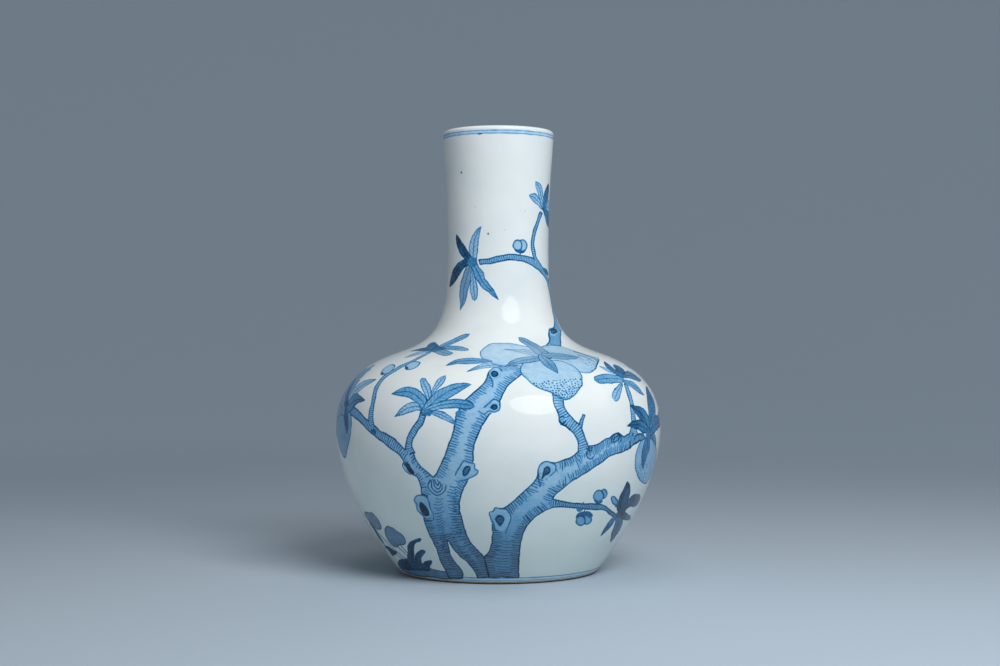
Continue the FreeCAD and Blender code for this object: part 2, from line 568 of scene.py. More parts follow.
def along_line(canvas: Canvas, patch: Patch, line: np.ndarray,
               lengths: np.ndarray | None = None) -> tuple[np.ndarray, np.ndarray, np.ndarray]:
    """Measures a window against a line.

    Args:
        canvas: The canvas that both lie on.
        patch: The window.
        line: The line's places.
        lengths: Its running lengths, where they are known.

    Returns:
        For each spot the distance travelled along the line to its nearest place,
        which side it lies on, as 1 or -1, and how far off it is.
    """
    lengths = line_lengths(canvas, line) if lengths is None else lengths
    best = np.full(patch.angles.shape, np.inf, np.float32)
    travel = np.zeros_like(best)
    side = np.ones_like(best)
    start_x, start_y = patch.to(line[0])
    for i in range(len(line) - 1):
        end_x, end_y = patch.to(line[i + 1])
        way_x, way_y = end_x - start_x, end_y - start_y
        square = np.maximum(way_x * way_x + way_y * way_y, 1e-9)
        share = np.clip(-(start_x * way_x + start_y * way_y) / square, 0.0, 1.0)
        off_x, off_y = start_x + share * way_x, start_y + share * way_y
        gap = off_x * off_x + off_y * off_y
        closer = gap < best
        best = np.where(closer, gap, best)
        travel = np.where(closer, lengths[i] + share * (lengths[i + 1] - lengths[i]), travel)
        side = np.where(closer, np.sign(way_y * start_x - way_x * start_y), side)
        start_x, start_y = end_x, end_y
    return travel, side, np.sqrt(best)


def within(ring: np.ndarray, x: np.ndarray, y: np.ndarray) -> np.ndarray:
    """Says which places lie inside a closed line.

    Args:
        ring: The line's points, the last like the first.
        x: The places' first coordinate.
        y: Their second coordinate.

    Returns:
        Whether each place is inside.
    """
    inside = np.zeros(np.broadcast_shapes(x.shape, y.shape), bool)
    for (start_x, start_y), (end_x, end_y) in zip(ring, ring[1:]):
        if start_y != end_y:
            turn = start_x + (y - start_y) / (end_y - start_y) * (end_x - start_x)
            inside ^= ((start_y > y) != (end_y > y)) & (x < turn)
    return inside


def outline_field(canvas: Canvas, patch: Patch, outline: np.ndarray) -> np.ndarray:
    """Measures a window against a closed outline.

    Args:
        canvas: The canvas that both lie on.
        patch: The window.
        outline: The outline's places, the first not repeated.

    Returns:
        For each spot the distance to the outline, below zero inside it.
    """
    ring = np.vstack([outline, outline[:1]])
    gap = along_line(canvas, patch, ring)[2]
    return np.where(within(ring, patch.angles, patch.arcs), -gap, gap)


class Tone(Enum):
    """How strongly a shape is washed and lined, as loads of cobalt."""

    PALE = (0.31, 0.88)
    LIGHT = (0.35, 0.96)
    TRUNK = (0.43, 1.00)
    MIDDLE = (0.54, 1.02)
    DEEP = (0.80, 1.10)
    INK = (0.93, 1.16)
    NIGHT = (1.06, 1.18)

    @property
    def wash(self) -> float:
        """Load of the wash."""
        return self.value[0]

    @property
    def line(self) -> float:
        """Load of the lines drawn with it."""
        return self.value[1]


class LeafShape(Enum):
    """Outlines of leaves: place of the widest part, fall after it, bluntness and width at the base."""

    LANCE = (0.42, 1.8, 0.95, 0.30)
    WEDGE = (0.70, 2.2, 0.80, 0.25)
    BLUNT = (0.50, 5.0, 0.50, 0.45)
    ROUND = (0.62, 2.6, 0.50, 0.30)
    WAVY = (0.30, 1.9, 0.80, 0.60)
    STRIP = (0.15, 7.0, 0.60, 0.75)
    SPIKE = (0.10, 1.2, 1.00, 0.85)
    BROAD = (0.42, 1.9, 0.90, 0.62)

    def half(self, share: np.ndarray) -> np.ndarray:
        """Half width at shares of the length, as a share of the widest half.

        Args:
            share: From 0 at the base to 1 at the tip.

        Returns:
            One number for each share.
        """
        peak, fall, end, base = self.value
        rise = np.clip(share / peak, 0.0, 1.0) ** 0.7
        drop = (1.0 - np.clip((share - peak) / (1.0 - peak), 0.0, 1.0) ** fall) ** end
        ripple = 1.0 + 0.13 * np.sin(share * 24.0) if self is LeafShape.WAVY else 1.0
        return (base + (1.0 - base) * rise) * drop * ripple


@dataclass(frozen=True)
class Leaf:
    """One painted leaf by its midrib in the photograph's frame, from base to tip."""

    line: Points
    width: float
    tone: Tone
    shape: LeafShape = LeafShape.LANCE
    grey: float = 0.0
    shade: float = 0.12


@dataclass(frozen=True)
class Limb:
    """A stretch of trunk or branch between two edges, hatched across from both."""

    twig_reach_mm: ClassVar[float] = 9.0
    left: Points
    right: Points
    pitch_mm: float = 2.0
    reach_mm: float = 8.0
    wash: float = Tone.TRUNK.wash

    @classmethod
    def along(cls, line: Points, widths: Sequence[float], pitch_mm: float = 1.6,
              wash: float = Tone.LIGHT.wash) -> "Limb":
        """Makes a twig from its middle line.

        Args:
            line: Its middle.
            widths: Its widths, evenly spaced from its start to its end.
            pitch_mm: Distance between its rungs.
            wash: Load of its wash.

        Returns:
            The twig.
        """
        middle = rounded_line(line, steps=3)
        share = np.linspace(0.0, 1.0, len(middle))
        half = np.interp(share, np.linspace(0.0, 1.0, len(widths)), widths)[:, None] / 2 * sideways(middle)
        return cls(middle + half, middle - half, pitch_mm, cls.twig_reach_mm, wash)

    def shape(self, count: int = 24) -> tuple[np.ndarray, np.ndarray]:
        """Outline and middle line of the limb."""
        left, right = rounded_line(self.left, steps=3), rounded_line(self.right, steps=3)
        return np.vstack([left, right[::-1]]), (even_line(left, count) + even_line(right, count)) / 2


@dataclass(frozen=True)
class Tree:
    """Limbs that grow together. Their outline runs round them all."""

    limbs: Sequence[Limb]
    gaps: Sequence[Points] = ()


@dataclass(frozen=True)
class Knot:
    """A lopped stub: its body, its dark hole, and the lines that fold round it."""

    body: Points
    hole: Points
    folds: Sequence[Points] = ()
    load: float = 0.95


@dataclass(frozen=True)
class Fruit:
    """A fruit by its outline. Dots fill it from one place towards another."""

    rim: Points
    tone: Tone
    dots_from: Point = (0.0, 0.0)
    dots_to: Point = (0.0, 0.0)
    dots: int = 0
    grey: float = 0.0


@dataclass(frozen=True)
class Bud:
    """A flower bud: petals by middle, half sizes and lean, and the outline of its dark cup."""

    petals: Sequence[tuple[Point, Point, float]]
    cup: Points
    tone: Tone = Tone.LIGHT


@dataclass(frozen=True)
class Motif:
    """Growth painted together. Its root is where it sits on its branch."""

    root: Point
    leaves: Sequence[Leaf] = ()
    fruits: Sequence[Fruit] = ()
    buds: Sequence[Bud] = ()
    cores: Sequence[Points] = ()
    stems: Sequence[Points] = ()
    core: Tone = Tone.DEEP


@dataclass(frozen=True)
class Brushwork:
    """Widths and looseness of the painter's brush, in millimetres on the wall.

    Near the foot, from dark_from_mm down to darkest_mm, the trunks' wash is darker
    and greyer. Dots keep dot_room apart, in the drawing's own measure, and crowd
    where the fruit darkens.
    """

    edge_mm: float = 0.36
    outline_mm: float = 0.84
    inset_mm: float = 0.2
    vein_mm: float = 0.55
    vein_gap_mm: float = 3.3
    streaks_per_mm: float = 3.4
    hatch_mm: float = 0.62
    rung_sag: float = 0.7
    fold_mm: float = 0.92
    stem_mm: float = 1.5
    dot_mm: float = 0.66
    dot_room: float = 2.4
    dot_crowding: float = 0.7
    dot_inset: float = 0.9
    dot_tries: int = 50
    dab_mm: float = 0.6
    dab_edge_mm: float = 0.35
    margin_mm: float = 3.0
    dark_from_mm: float = 85.0
    darkest_mm: float = 20.0
    dark_wash: float = 0.85
    dark_grey: float = 0.45


@dataclass(frozen=True)
class Painter:
    """Paints leaves, limbs, knots, fruits and lines where a sheet carries its drawing."""

    canvas: Canvas
    sheet: Sheet
    brush: Brushwork = Brushwork()

    def cover(self, gap: np.ndarray) -> np.ndarray:
        """Share of each spot inside an edge, which the brush leaves a little soft."""
        return soft_step(self.brush.edge_mm, -self.brush.edge_mm, gap)

    def trace(self, gap: np.ndarray, width_mm: float | np.ndarray) -> np.ndarray:
        """Share of each spot covered by a line of a width, from distances to its middle."""
        half = width_mm / 2
        return 1.0 - soft_step(half * 0.35, half + self.brush.edge_mm * 0.8, np.abs(gap))

    def field(self, points: Points, rounded: bool = True) -> tuple[Patch, np.ndarray]:
        """Opens the window round a closed outline and measures it.

        Args:
            points: The outline in the sheet's drawing.
            rounded: Whether it is still to be rounded.

        Returns:
            The window, and the distance of its spots to the outline, below zero inside.
        """
        rim = self.sheet.place(rounded_line(points, closed=True, steps=3) if rounded else points)
        patch = self.canvas.patch(rim, self.brush.margin_mm)
        return patch, outline_field(self.canvas, patch, rim)

    def stroke(self, points: Points, width_mm: float, load: float, taper: float = 0.4) -> None:
        """Draws a line that thins towards its end.

        Args:
            points: The line in the sheet's drawing.
            width_mm: Its width at the start.
            load: Amount of cobalt.
            taper: Share of the width that is lost by the end.
        """
        line = self.sheet.place(rounded_line(points))
        patch = self.canvas.patch(line, self.brush.margin_mm)
        lengths = line_lengths(self.canvas, line)
        travel, _, gap = along_line(self.canvas, patch, line, lengths)
        width = width_mm * (1.0 - taper * travel / max(lengths[-1], TINY))
        self.canvas.draw(patch, self.trace(gap, width), load)

    def leaf(self, leaf: Leaf, count: int = 16) -> None:
        """Paints a leaf with its wash, midrib, side veins and outline.

        Args:
            leaf: The leaf.
            count: Number of points along it.
        """
        brush = self.brush
        middle = even_line(rounded_line(leaf.line, steps=5), count)
        half = sideways(middle) * (leaf.width / 2 * leaf.shape.half(np.linspace(0.0, 1.0, count)))[:, None]
        left, right = self.sheet.place(middle + half), self.sheet.place(middle - half)
        line = (left + right) / 2
        radii = self.canvas.profile.at_arc(line[:, 1])[0]
        halves = np.hypot(radii * (left - right)[:, 0], (left - right)[:, 1]) / 2
        lengths = line_lengths(self.canvas, line)
        patch = self.canvas.patch(line, halves.max() + brush.margin_mm)
        travel, side, off = along_line(self.canvas, patch, line, lengths)
        gap = off - np.interp(travel, lengths, halves)
        share = travel / lengths[-1]
        streak = np.sin(side * off * brush.streaks_per_mm + 0.8 * patch.dapple)
        wash = leaf.tone.wash * (1.0 + leaf.shade * (2.0 * share - 1.0) + 0.07 * patch.dapple + 0.05 * streak)
        self.canvas.lay(patch, self.cover(gap), wash, leaf.grey)
        rib = self.trace(off, brush.vein_mm) * soft_step(1.0, 0.88, share)
        slant = (travel - 0.9 * off) / brush.vein_gap_mm + 0.5 * (side > 0)
        phase = (slant - np.floor(slant) - 0.5) * brush.vein_gap_mm
        branching = self.trace(phase, brush.vein_mm * 0.7) * 0.6 * (halves.max() > brush.vein_gap_mm / 2)
        veins = np.maximum(rib, branching) * soft_step(0.2, -0.4, gap)
        edge = self.trace(gap + brush.inset_mm, brush.outline_mm * 0.9)
        lines = np.maximum(veins * 0.85, edge * (0.9 + 0.1 * patch.dapple))
        self.canvas.draw(patch, lines, leaf.tone.line * (1.0 + 0.06 * patch.dapple))

    def tree(self, tree: Tree) -> None:
        """Paints limbs that grow together: wash, hatching from the edges, one outline.

        Args:
            tree: The limbs.
        """
        brush, canvas = self.brush, self.canvas
        shapes = [tuple(self.sheet.place(line) for line in limb.shape()) for limb in tree.limbs]
        whole = canvas.patch(np.vstack([outline for outline, _ in shapes]), brush.margin_mm)
        gap = np.full(whole.angles.shape, FAR_OFF, np.float32)
        phase, side, pitch, reach, wash = (np.ones_like(gap) for _ in range(5))
        for number, (limb, (outline, middle)) in enumerate(zip(tree.limbs, shapes)):
            own = canvas.patch(outline, brush.margin_mm)
            offset = (own.columns[0] - whole.columns[0]) % canvas.columns
            part = (slice(own.rows[0] - whole.rows[0], own.rows[-1] - whole.rows[0] + 1),
                    slice(offset, offset + len(own.columns)))
            own_gap = outline_field(canvas, own, outline)
            travel, own_side, _ = along_line(canvas, own, middle)
            closer = own_gap < gap[part]
            values = (own_gap, travel / limb.pitch_mm + 61.0 * number, own_side, limb.pitch_mm,
                      limb.reach_mm, limb.wash)
            for layer, value in zip((gap, phase, side, pitch, reach, wash), values):
                layer[part] = np.where(closer, value, layer[part])
        for points in tree.gaps:
            hole = self.sheet.place(rounded_line(points, closed=True, steps=3))
            gap = np.maximum(gap, -outline_field(canvas, whole, hole))
        depth = -gap
        low = soft_step(brush.dark_from_mm, brush.darkest_mm, canvas.heights[whole.rows])[:, None]
        wash = wash * (1.0 + brush.dark_wash * low)
        load = wash * (1.0 + 0.06 * whole.dapple) - 0.06 * soft_step(3.5, 8.0, depth)
        canvas.lay(whole, self.cover(gap), load, brush.dark_grey * low)
        phase = phase + 0.05 * whole.dapple
        number = np.floor(phase)
        key = number * 2.0 + (side > 0)
        middle = (phase - number - 0.5 - 0.14 * (scatter(key, 1.0) - 0.5)) * pitch
        reach = reach * (0.70 + 0.45 * scatter(key, 2.0))
        width = brush.hatch_mm * (0.9 + 0.3 * scatter(key, 3.0)) * (1.0 - 0.25 * depth / reach)
        hatch = self.trace(middle, np.maximum(width, 0.2)) * soft_step(reach, reach * 0.78, depth)
        hatch *= soft_step(-0.2, 0.3, depth) * (0.80 + 0.20 * scatter(key, 4.0))
        canvas.draw(whole, hatch, np.minimum(0.58 + wash, 1.12))
        edge = self.trace(gap + brush.inset_mm, brush.outline_mm * (1.05 + 0.2 * whole.dapple))
        canvas.draw(whole, edge, np.minimum(0.70 + wash, 1.16))

    def knot(self, knot: Knot) -> None:
        """Paints a lopped stub with its dark hole and the folds round it.

        Args:
            knot: The stub.
        """
        patch, gap = self.field(knot.body)
        self.canvas.lay(patch, self.cover(gap), Tone.TRUNK.wash * (0.96 + 0.1 * patch.dapple))
        for fold in knot.folds:
            self.stroke(fold, self.brush.outline_mm * 1.25, Tone.INK.wash, 0.3)
        self.blot(knot.hole, knot.load)
        self.stroke([*knot.hole, knot.hole[0]], self.brush.outline_mm, Tone.INK.line, 0.0)

    def fruit(self, fruit: Fruit) -> None:
        """Paints a fruit with a soft wash, a fine outline and dots, closer where it darkens.

        Args:
            fruit: The fruit.
        """
        brush = self.brush
        patch, gap = self.field(fruit.rim)
        wash = fruit.tone.wash * (1.0 + 0.10 * patch.dapple) + 0.07 * soft_step(-4.5, 0.0, gap)
        self.canvas.lay(patch, self.cover(gap), wash, fruit.grey)
        edge = self.trace(gap + brush.inset_mm, brush.outline_mm * 0.85)
        self.canvas.draw(patch, edge, fruit.tone.line + 0.06)
        draw = np.random.default_rng(int(fruit.rim[0][0] * 10))
        rim = rounded_line(fruit.rim, closed=True)
        start = np.array(fruit.dots_from)
        way = np.array(fruit.dots_to) - start
        spots = draw.uniform(rim.min(axis=0), rim.max(axis=0), (fruit.dots * brush.dot_tries, 2))
        placed: list[np.ndarray] = []
        for spot in spots[within(np.vstack([rim, rim[:1]]), *spots.T)]:
            share = float((spot - start) @ way / max(way @ way, TINY))
            room = brush.dot_room - brush.dot_crowding * min(max(share, 0.0), 1.0)
            free = all(np.hypot(*(spot - other)) > room for other in placed)
            clear = np.hypot(*(rim - spot).T).min() > brush.dot_inset
            if len(placed) < fruit.dots and share > 0 and free and clear:
                placed.append(spot)
        for spot in placed:
            self.dab(spot, brush.dot_mm * draw.uniform(0.8, 1.25), draw.uniform(0.95, 1.15))

    def bud(self, bud: Bud) -> None:
        """Paints a bud's petals, one over another, and its dark cup.

        Args:
            bud: The bud.
        """
        for petal in bud.petals:
            patch, gap = self.field(ellipse(*petal), rounded=False)
            self.canvas.lay(patch, self.cover(gap), bud.tone.wash + 0.10 * soft_step(-2.2, 0.0, gap))
            self.canvas.draw(patch, self.trace(gap + 0.15, self.brush.outline_mm), bud.tone.line + 0.08)
        self.blot(bud.cup, Tone.INK.wash)

    def blot(self, points: Points, load: float) -> None:
        """Fills a closed shape with one dark, slightly uneven wash.

        Args:
            points: Its outline in the sheet's drawing.
            load: Amount of cobalt.
        """
        patch, gap = self.field(points)
        wash = load * (0.95 + 0.08 * patch.dapple) + 0.06 * soft_step(-1.0, 0.0, gap)
        self.canvas.lay(patch, self.cover(gap), wash)

    def motif(self, motif: Motif) -> None:
        """Paints a motif's stems, fruits, leaves, buds and dark cores, one over another.

        Args:
            motif: The motif.
        """
        for stem in motif.stems:
            self.stroke(stem, self.brush.stem_mm, Tone.DEEP.line)
        for paint, things in ((self.fruit, motif.fruits), (self.leaf, motif.leaves), (self.bud, motif.buds)):
            for thing in things:
                paint(thing)
        for core in motif.cores:
            self.blot(core, motif.core.wash)

    def rungs(self, left: tuple[Point, Point], right: tuple[Point, Point], count: int) -> None:
        """Draws short lines that sag a little across a trunk.

        Args:
            left: Where the topmost and the lowest line start.
            right: Where they end.
            count: How many there are.
        """
        number = np.arange(count)
        share = ((number + 0.3 * scatter(number, 5.0)) / count)[:, None]
        starts, ends = (np.array(side[0]) * (1.0 - share) + np.array(side[1]) * share for side in (left, right))
        for i, (start, end) in enumerate(zip(starts, ends)):
            cut = 0.3 * scatter(np.array([i, i + 0.5]), 6.0)
            first, last = start + (end - start) * cut[0], end + (start - end) * cut[1]
            middle = (first + last) / 2 + (0.0, self.brush.rung_sag)
            self.stroke([first, middle, last], self.brush.hatch_mm, Tone.TRUNK.line - 0.04)

    def ring(self, height_mm: float, width_mm: float, load: float) -> None:
        """Draws a line round the vase on the wheel.

        Args:
            height_mm: Its height above the table.
            width_mm: Its width up the wall.
            load: Amount of cobalt.
        """
        arc = float(self.canvas.profile.arc_at_height(height_mm))
        patch = self.canvas.patch(np.array([[0.0, arc], [FULL_TURN, arc]]), width_mm + 1.5)
        gap = patch.arcs - self.canvas.sway_up[patch.grid] * 0.8 - arc
        cover = self.trace(gap, width_mm * (1.0 + 0.08 * patch.dapple))
        self.canvas.draw(patch, cover, load * (1.0 + 0.12 * patch.dapple))

    def dab(self, point: Point, size_mm: float, load: float, pigment: str = "cobalt") -> None:
        """Touches the wall with the tip of the brush, or lets a grain of iron show.

        Args:
            point: Its place in the sheet's drawing.
            size_mm: Half its width.
            load: How dark it is.
            pigment: The canvas's layer that takes it.
        """
        place = self.sheet.place([point])
        patch = self.canvas.patch(place, self.brush.margin_mm)
        soft = self.brush.dab_edge_mm
        cover = soft_step(size_mm + soft, size_mm - soft, np.hypot(*patch.to(place[0])))
        layer = getattr(self.canvas, pigment)
        layer[patch.grid] = np.maximum(layer[patch.grid], load * cover)


def ellipse(middle: Point, half_size: Point, lean_degrees: float, count: int = 18) -> np.ndarray:
    """Points of a leaning ellipse.

    Args:
        middle: Its centre.
        half_size: Its half width and half height.
        lean_degrees: How far it is turned.
        count: Number of points.

    Returns:
        The points, the first not repeated.
    """
    turns = np.arange(count) * FULL_TURN / count
    x, y = turned(half_size[0] * np.cos(turns), half_size[1] * np.sin(turns), lean_degrees)
    return np.c_[middle[0] + x, middle[1] + y]


# Places in the photograph's frame, as the painter's strokes lie there.

PALE, LIGHT, TRUNK, MIDDLE, DEEP, INK, NIGHT = Tone
LANCE, WEDGE, BLUNT, ROUND, WAVY, STRIP, SPIKE, BROAD = LeafShape

NECK_SPRAY = (
    Leaf([(471, 262), (467, 277), (464, 289), (463, 300), (460.3, 310.3)], 9, MIDDLE, BROAD, 0.5),
    Leaf([(472, 269), (473.6, 285), (474.5, 301)], 7.2, LIGHT, ROUND),
    Leaf([(472, 261), (477.6, 272), (484, 284), (491, 290.5), (498, 299.8)], 8.6, MIDDLE, WAVY),
    Leaf([(473, 261), (464, 263.5), (457.5, 270.5), (453.5, 278), (449.3, 286.8)], 7.6, INK, BROAD, 0, 0.15),
    Leaf([(473.5, 262), (473.4, 250), (474.8, 240), (477.4, 232.5), (480.7, 226.2)], 8.8, LIGHT, BROAD),
    Leaf([(474, 263), (467, 256.5), (461.5, 248), (458, 240.5), (456.2, 234.5)], 7.4, INK, BROAD, 0, 0.15),
)
NECK_TOP_SPRAY = (
    Leaf([(545.5, 209), (548, 207), (549.6, 204)], 3, LIGHT),
    Leaf([(542.5, 208), (538, 201.5), (533.5, 197), (529.4, 195)], 6.8, LIGHT, WEDGE),
    Leaf([(543, 208), (541.3, 197), (539.3, 189), (535.8, 181.3)], 5.6, LIGHT, WEDGE),
    Leaf([(543.5, 210), (545.4, 200), (547.2, 191), (548.8, 183)], 4.4, DEEP, shade=0.2),
    Leaf([(543.5, 210), (546.4, 216), (548.8, 225)], 3.6, DEEP, shade=0.2),
)
SHOULDER_SPRAY = (
    Leaf([(434, 350), (424.4, 351.8), (404, 357.8)], 3, LIGHT),
    Leaf([(440, 347.5), (453, 341.5), (469.6, 334)], 4.2, MIDDLE, STRIP, 0.2, 0),
    Leaf([(440, 348.5), (455, 348), (468.5, 350.6)], 3.4, MIDDLE, STRIP, 0.2, -0.1),
    Leaf([(436, 350), (443, 352.4), (450.5, 355)], 3.8, MIDDLE, BLUNT, 0.6),
    Leaf([(434, 349.5), (425, 349), (410, 351.2)], 3.2, INK, SPIKE),
)
LEFT_EDGE_LEAVES = (
    Leaf([(345, 410), (341.6, 400), (344, 388), (352, 376)], 7, MIDDLE, BROAD, 0.5),
    Leaf([(345.5, 408), (349, 392), (359, 377.6), (373.4, 364.8)], 8, MIDDLE, BROAD, 0.4),
    Leaf([(349, 404), (354, 392.6), (364, 384.4), (376.4, 379.4)], 5.2, LIGHT, BROAD, 0.3),
    Leaf([(348, 407), (356, 400), (365, 400.3)], 8, DEEP, BROAD, 0.2, 0.2),
)
PALM_SPRAY = (
    Leaf([(430, 398), (435, 389), (440, 382), (445, 375.5)], 6.2, LIGHT, WEDGE),
    Leaf([(429.5, 400), (427, 390), (421.6, 378)], 8, LIGHT, BLUNT),
    Leaf([(425, 409), (416, 406.4), (405.5, 409.5), (395, 416.8)], 9.4, LIGHT),
    Leaf([(427, 411), (421, 399.6), (408.5, 391.8), (391.7, 393.8)], 11.4, MIDDLE, BROAD),
    Leaf([(425, 411), (438, 398), (453, 389.5), (464, 385.8), (471.8, 384.2)], 12.4, MIDDLE, BROAD),
    Leaf([(429, 411), (444, 416), (458, 425.8)], 7, LIGHT),
    Leaf([(424, 411), (443, 404.6), (460, 403.6), (474.6, 406.5)], 8.8, MIDDLE, BLUNT, 0, 0.3),
)
FRUIT_LEFT_LEAVES = (
    Leaf([(490, 361.5), (474, 361), (458, 361.6), (445.6, 365.6)], 6.2, MIDDLE),
    Leaf([(500, 366), (484, 366), (466.5, 371.7)], 4.6, LIGHT),
)
FRUIT_SPRAY = (
    Leaf([(545, 356), (528, 352), (504, 349.3)], 6, LIGHT, SPIKE, 0.7, -0.2),
    Leaf([(546, 356.5), (538, 349.5), (528, 342.8), (518.2, 337.5)], 5.6, MIDDLE, STRIP, 0.6),
    Leaf([(545, 357), (530, 359.5), (516, 361.8), (504.5, 366.8)], 5.8, MIDDLE, LANCE, 0.4),
    Leaf([(541, 355), (557, 356), (580, 357.2)], 5.6, MIDDLE, LANCE, 0.5),
    Leaf([(541, 356), (549, 364), (558.3, 373.4)], 7, MIDDLE, LANCE, 0.3, 0.3),
)
RIGHT_HIGH_SPRAY = (
    Leaf([(614, 373), (599, 366)], 3, PALE),
    Leaf([(622, 384), (617.5, 391.5), (613.8, 401)], 7.2, LIGHT, ROUND),
    Leaf([(621, 377), (612, 369.5), (604.4, 361.3)], 3.8, DEEP),
    Leaf([(621, 377), (618.6, 365.8)], 4.6, DEEP, ROUND),
    Leaf([(622, 379), (608, 378.5), (594.4, 380.5)], 7.6, MIDDLE, BLUNT, 0, 0.15),
    Leaf([(623, 381), (634, 386), (644.4, 395.2)], 4.6, MIDDLE),
    Leaf([(621, 377), (631, 375.4), (640.8, 379.4)], 3.8, DEEP, grey=0.2),
)
RIGHT_EDGE_SPRAY = (
    Leaf([(649, 430), (651.6, 412), (650.6, 398), (647, 386.6)], 6.4, DEEP),
    Leaf([(649, 430), (642.5, 415.5), (630.6, 405.6)], 8.6, DEEP),
    Leaf([(649, 431), (638, 424.6), (626.8, 425.8)], 9, DEEP),
    Leaf([(649, 430), (646.5, 446), (644, 458), (643.2, 469.5)], 6.6, DEEP),
)
RIGHT_LOW_SPRAY = (
    Leaf([(617, 514), (608.5, 526), (600.6, 536)], 4.8, DEEP),
    Leaf([(618, 513), (618, 524), (614.8, 534), (610.4, 542.6)], 6, INK, grey=0.2),
)
GROUND_STEMS = (
    [(373, 528), (378, 537), (384, 544.5), (392, 550), (400, 557), (405, 560)],
    [(376, 530), (385, 540), (393, 548), (401, 555), (408, 560)],
    [(397, 546), (403, 551.5), (409, 558)], [(400.5, 545), (406, 551.5), (411, 557)],
)
GROUND_BLADES = (
    [(407.5, 552), (407.3, 547), (409, 543), (412, 540.5), (416, 539), (420, 538.3), (421.7, 539.8), (420, 541.6),
     (417, 542.2), (415, 544.5), (414, 549), (414.5, 558), (413, 562), (408, 561)],
    [(415, 560), (415.6, 554), (418.6, 551), (423.6, 549.8), (425.6, 551.6), (424.4, 554.4), (421.6, 557), (421, 563)],
    [(421, 567), (424, 562), (428, 560.2), (431.6, 560.6), (431.8, 563.4), (430, 566.6), (430, 570.6)],
    [(398.4, 564), (399, 560.4), (403, 559.6), (409, 560), (415, 558.5), (421, 562), (426, 566.6), (430, 570.4),
     (418, 570.6), (406, 569.6), (401, 567.6)],
    [(384.5, 547), (388, 546), (392, 549), (397, 552.5), (393, 556), (390.5, 553.5), (388, 549.5)],
    [(368.4, 519.6), (372, 523.6), (376.6, 531), (381.6, 539), (384, 543.6), (380.4, 540), (375.4, 532), (371, 525.4)],
)
SPRAYS = (
    NECK_SPRAY, NECK_TOP_SPRAY, SHOULDER_SPRAY, LEFT_EDGE_LEAVES, PALM_SPRAY, FRUIT_LEFT_LEAVES,
    FRUIT_SPRAY, RIGHT_HIGH_SPRAY, RIGHT_EDGE_SPRAY, RIGHT_LOW_SPRAY,
)

LEFT_LIMB = Limb(
    [(347, 401), (355.3, 407.8), (363.3, 415.6), (368, 420.6), (374.4, 425.6), (380, 430.6), (387.8, 434.4),
     (393.3, 437.8), (400, 444.4), (405.6, 449.4), (411.7, 451), (416.7, 461.1), (424.4, 468.9), (433.4, 477)],
    [(341, 409), (352, 415.5), (358.9, 421.1), (366.7, 428.9), (372.2, 434.4), (380, 440), (387.8, 446.7),
     (395.6, 452.2), (402.2, 458.9), (405, 467), (411, 473.5), (416.3, 476.5), (420, 484), (422, 497)], 2, 5.2)
MAIN_TRUNK = Limb(
    [(449.4, 578.8), (445, 570), (440, 560), (436.3, 548.8), (430, 536.3), (425, 523.8), (422.5, 513),
     (421.9, 495), (425, 485), (433.1, 477), (438.9, 468.9), (442.2, 460), (445.6, 453.3), (447.8, 445.6),
     (451.1, 437.8), (453.9, 426.7), (457.5, 412), (464.5, 400.5), (472.2, 393.3), (480, 386.7), (485.6, 380),
     (488.9, 372), (494, 368), (501, 365.5)],
    [(489, 577.5), (486.3, 565), (483.8, 556.3), (476.3, 548.8), (470, 541.3), (465, 530), (462.5, 520),
     (460, 511.3), (460, 501.3), (462.5, 491.3), (467.5, 481.3), (472, 470), (473.3, 457), (474.4, 445.6),
     (477.8, 435.6), (483.3, 424.4), (490.4, 413.8), (497, 407), (501.3, 398.8), (503.1, 393.8), (508.8, 385),
     (516.3, 378.8), (521.5, 374.5), (525, 366)])
ROOT_GAP = [(447.5, 540), (453.8, 550), (460, 556.3), (467.5, 562.5), (472.5, 568.8), (477.5, 579.5), (463.3, 579.5),
            (462.5, 571.3), (457.5, 565), (451.3, 556.3), (448.8, 547.5)]
RIGHT_TRUNK = Limb(
    [(489, 577.5), (486.5, 566), (484.4, 556.3), (488.8, 551.3), (491.3, 543.8), (492.5, 535), (492.5, 526.3),
     (491, 516), (495, 508), (503.1, 508.1), (512.5, 501.3), (525, 490), (536.3, 478.8), (539, 468), (548, 461.5),
     (556, 462.6), (562.5, 460.6), (570, 457.5), (578, 451)],
    [(518.8, 577.5), (518.8, 571.3), (519.4, 560), (520, 548.8), (521.3, 540), (523.8, 532.5), (528.8, 523.8),
     (537, 516), (546, 510.5), (552.5, 507.4), (552.6, 499), (562.5, 488.8), (571.3, 481.9), (580, 476.3),
     (590, 470)], 1.85, 8.5)
BIG_BRANCH = Limb(
    [(572, 460), (582, 450), (588.1, 446.4), (593.1, 445.6), (600, 442.5), (605, 439.4), (610, 437.5),
     (612.5, 434.6), (618.8, 433.1), (623.8, 436.3), (628.8, 434.4), (636, 435), (643, 433)],
    [(576, 479.5), (590, 470), (600, 463.8), (608.8, 456.9), (617.5, 453.8), (627.5, 449.6), (632.5, 446),
     (638, 442.5), (645, 438)], 1.6, 8.5)
FRUIT_LIMB = Limb(
    [(576, 462), (578.5, 446.3), (576.3, 437.5), (571.3, 431.3), (565, 425.9), (559.6, 422), (558.6, 415),
     (556.3, 410), (553.1, 401.3), (552.5, 395), (550, 385)],
    [(592, 456), (588.1, 445.6), (586.4, 441), (583.8, 433.8), (580.6, 426), (573.8, 420), (568.8, 413.8),
     (564.4, 406.3), (563.8, 398.8), (563, 388)], 2, 6, 0.42)
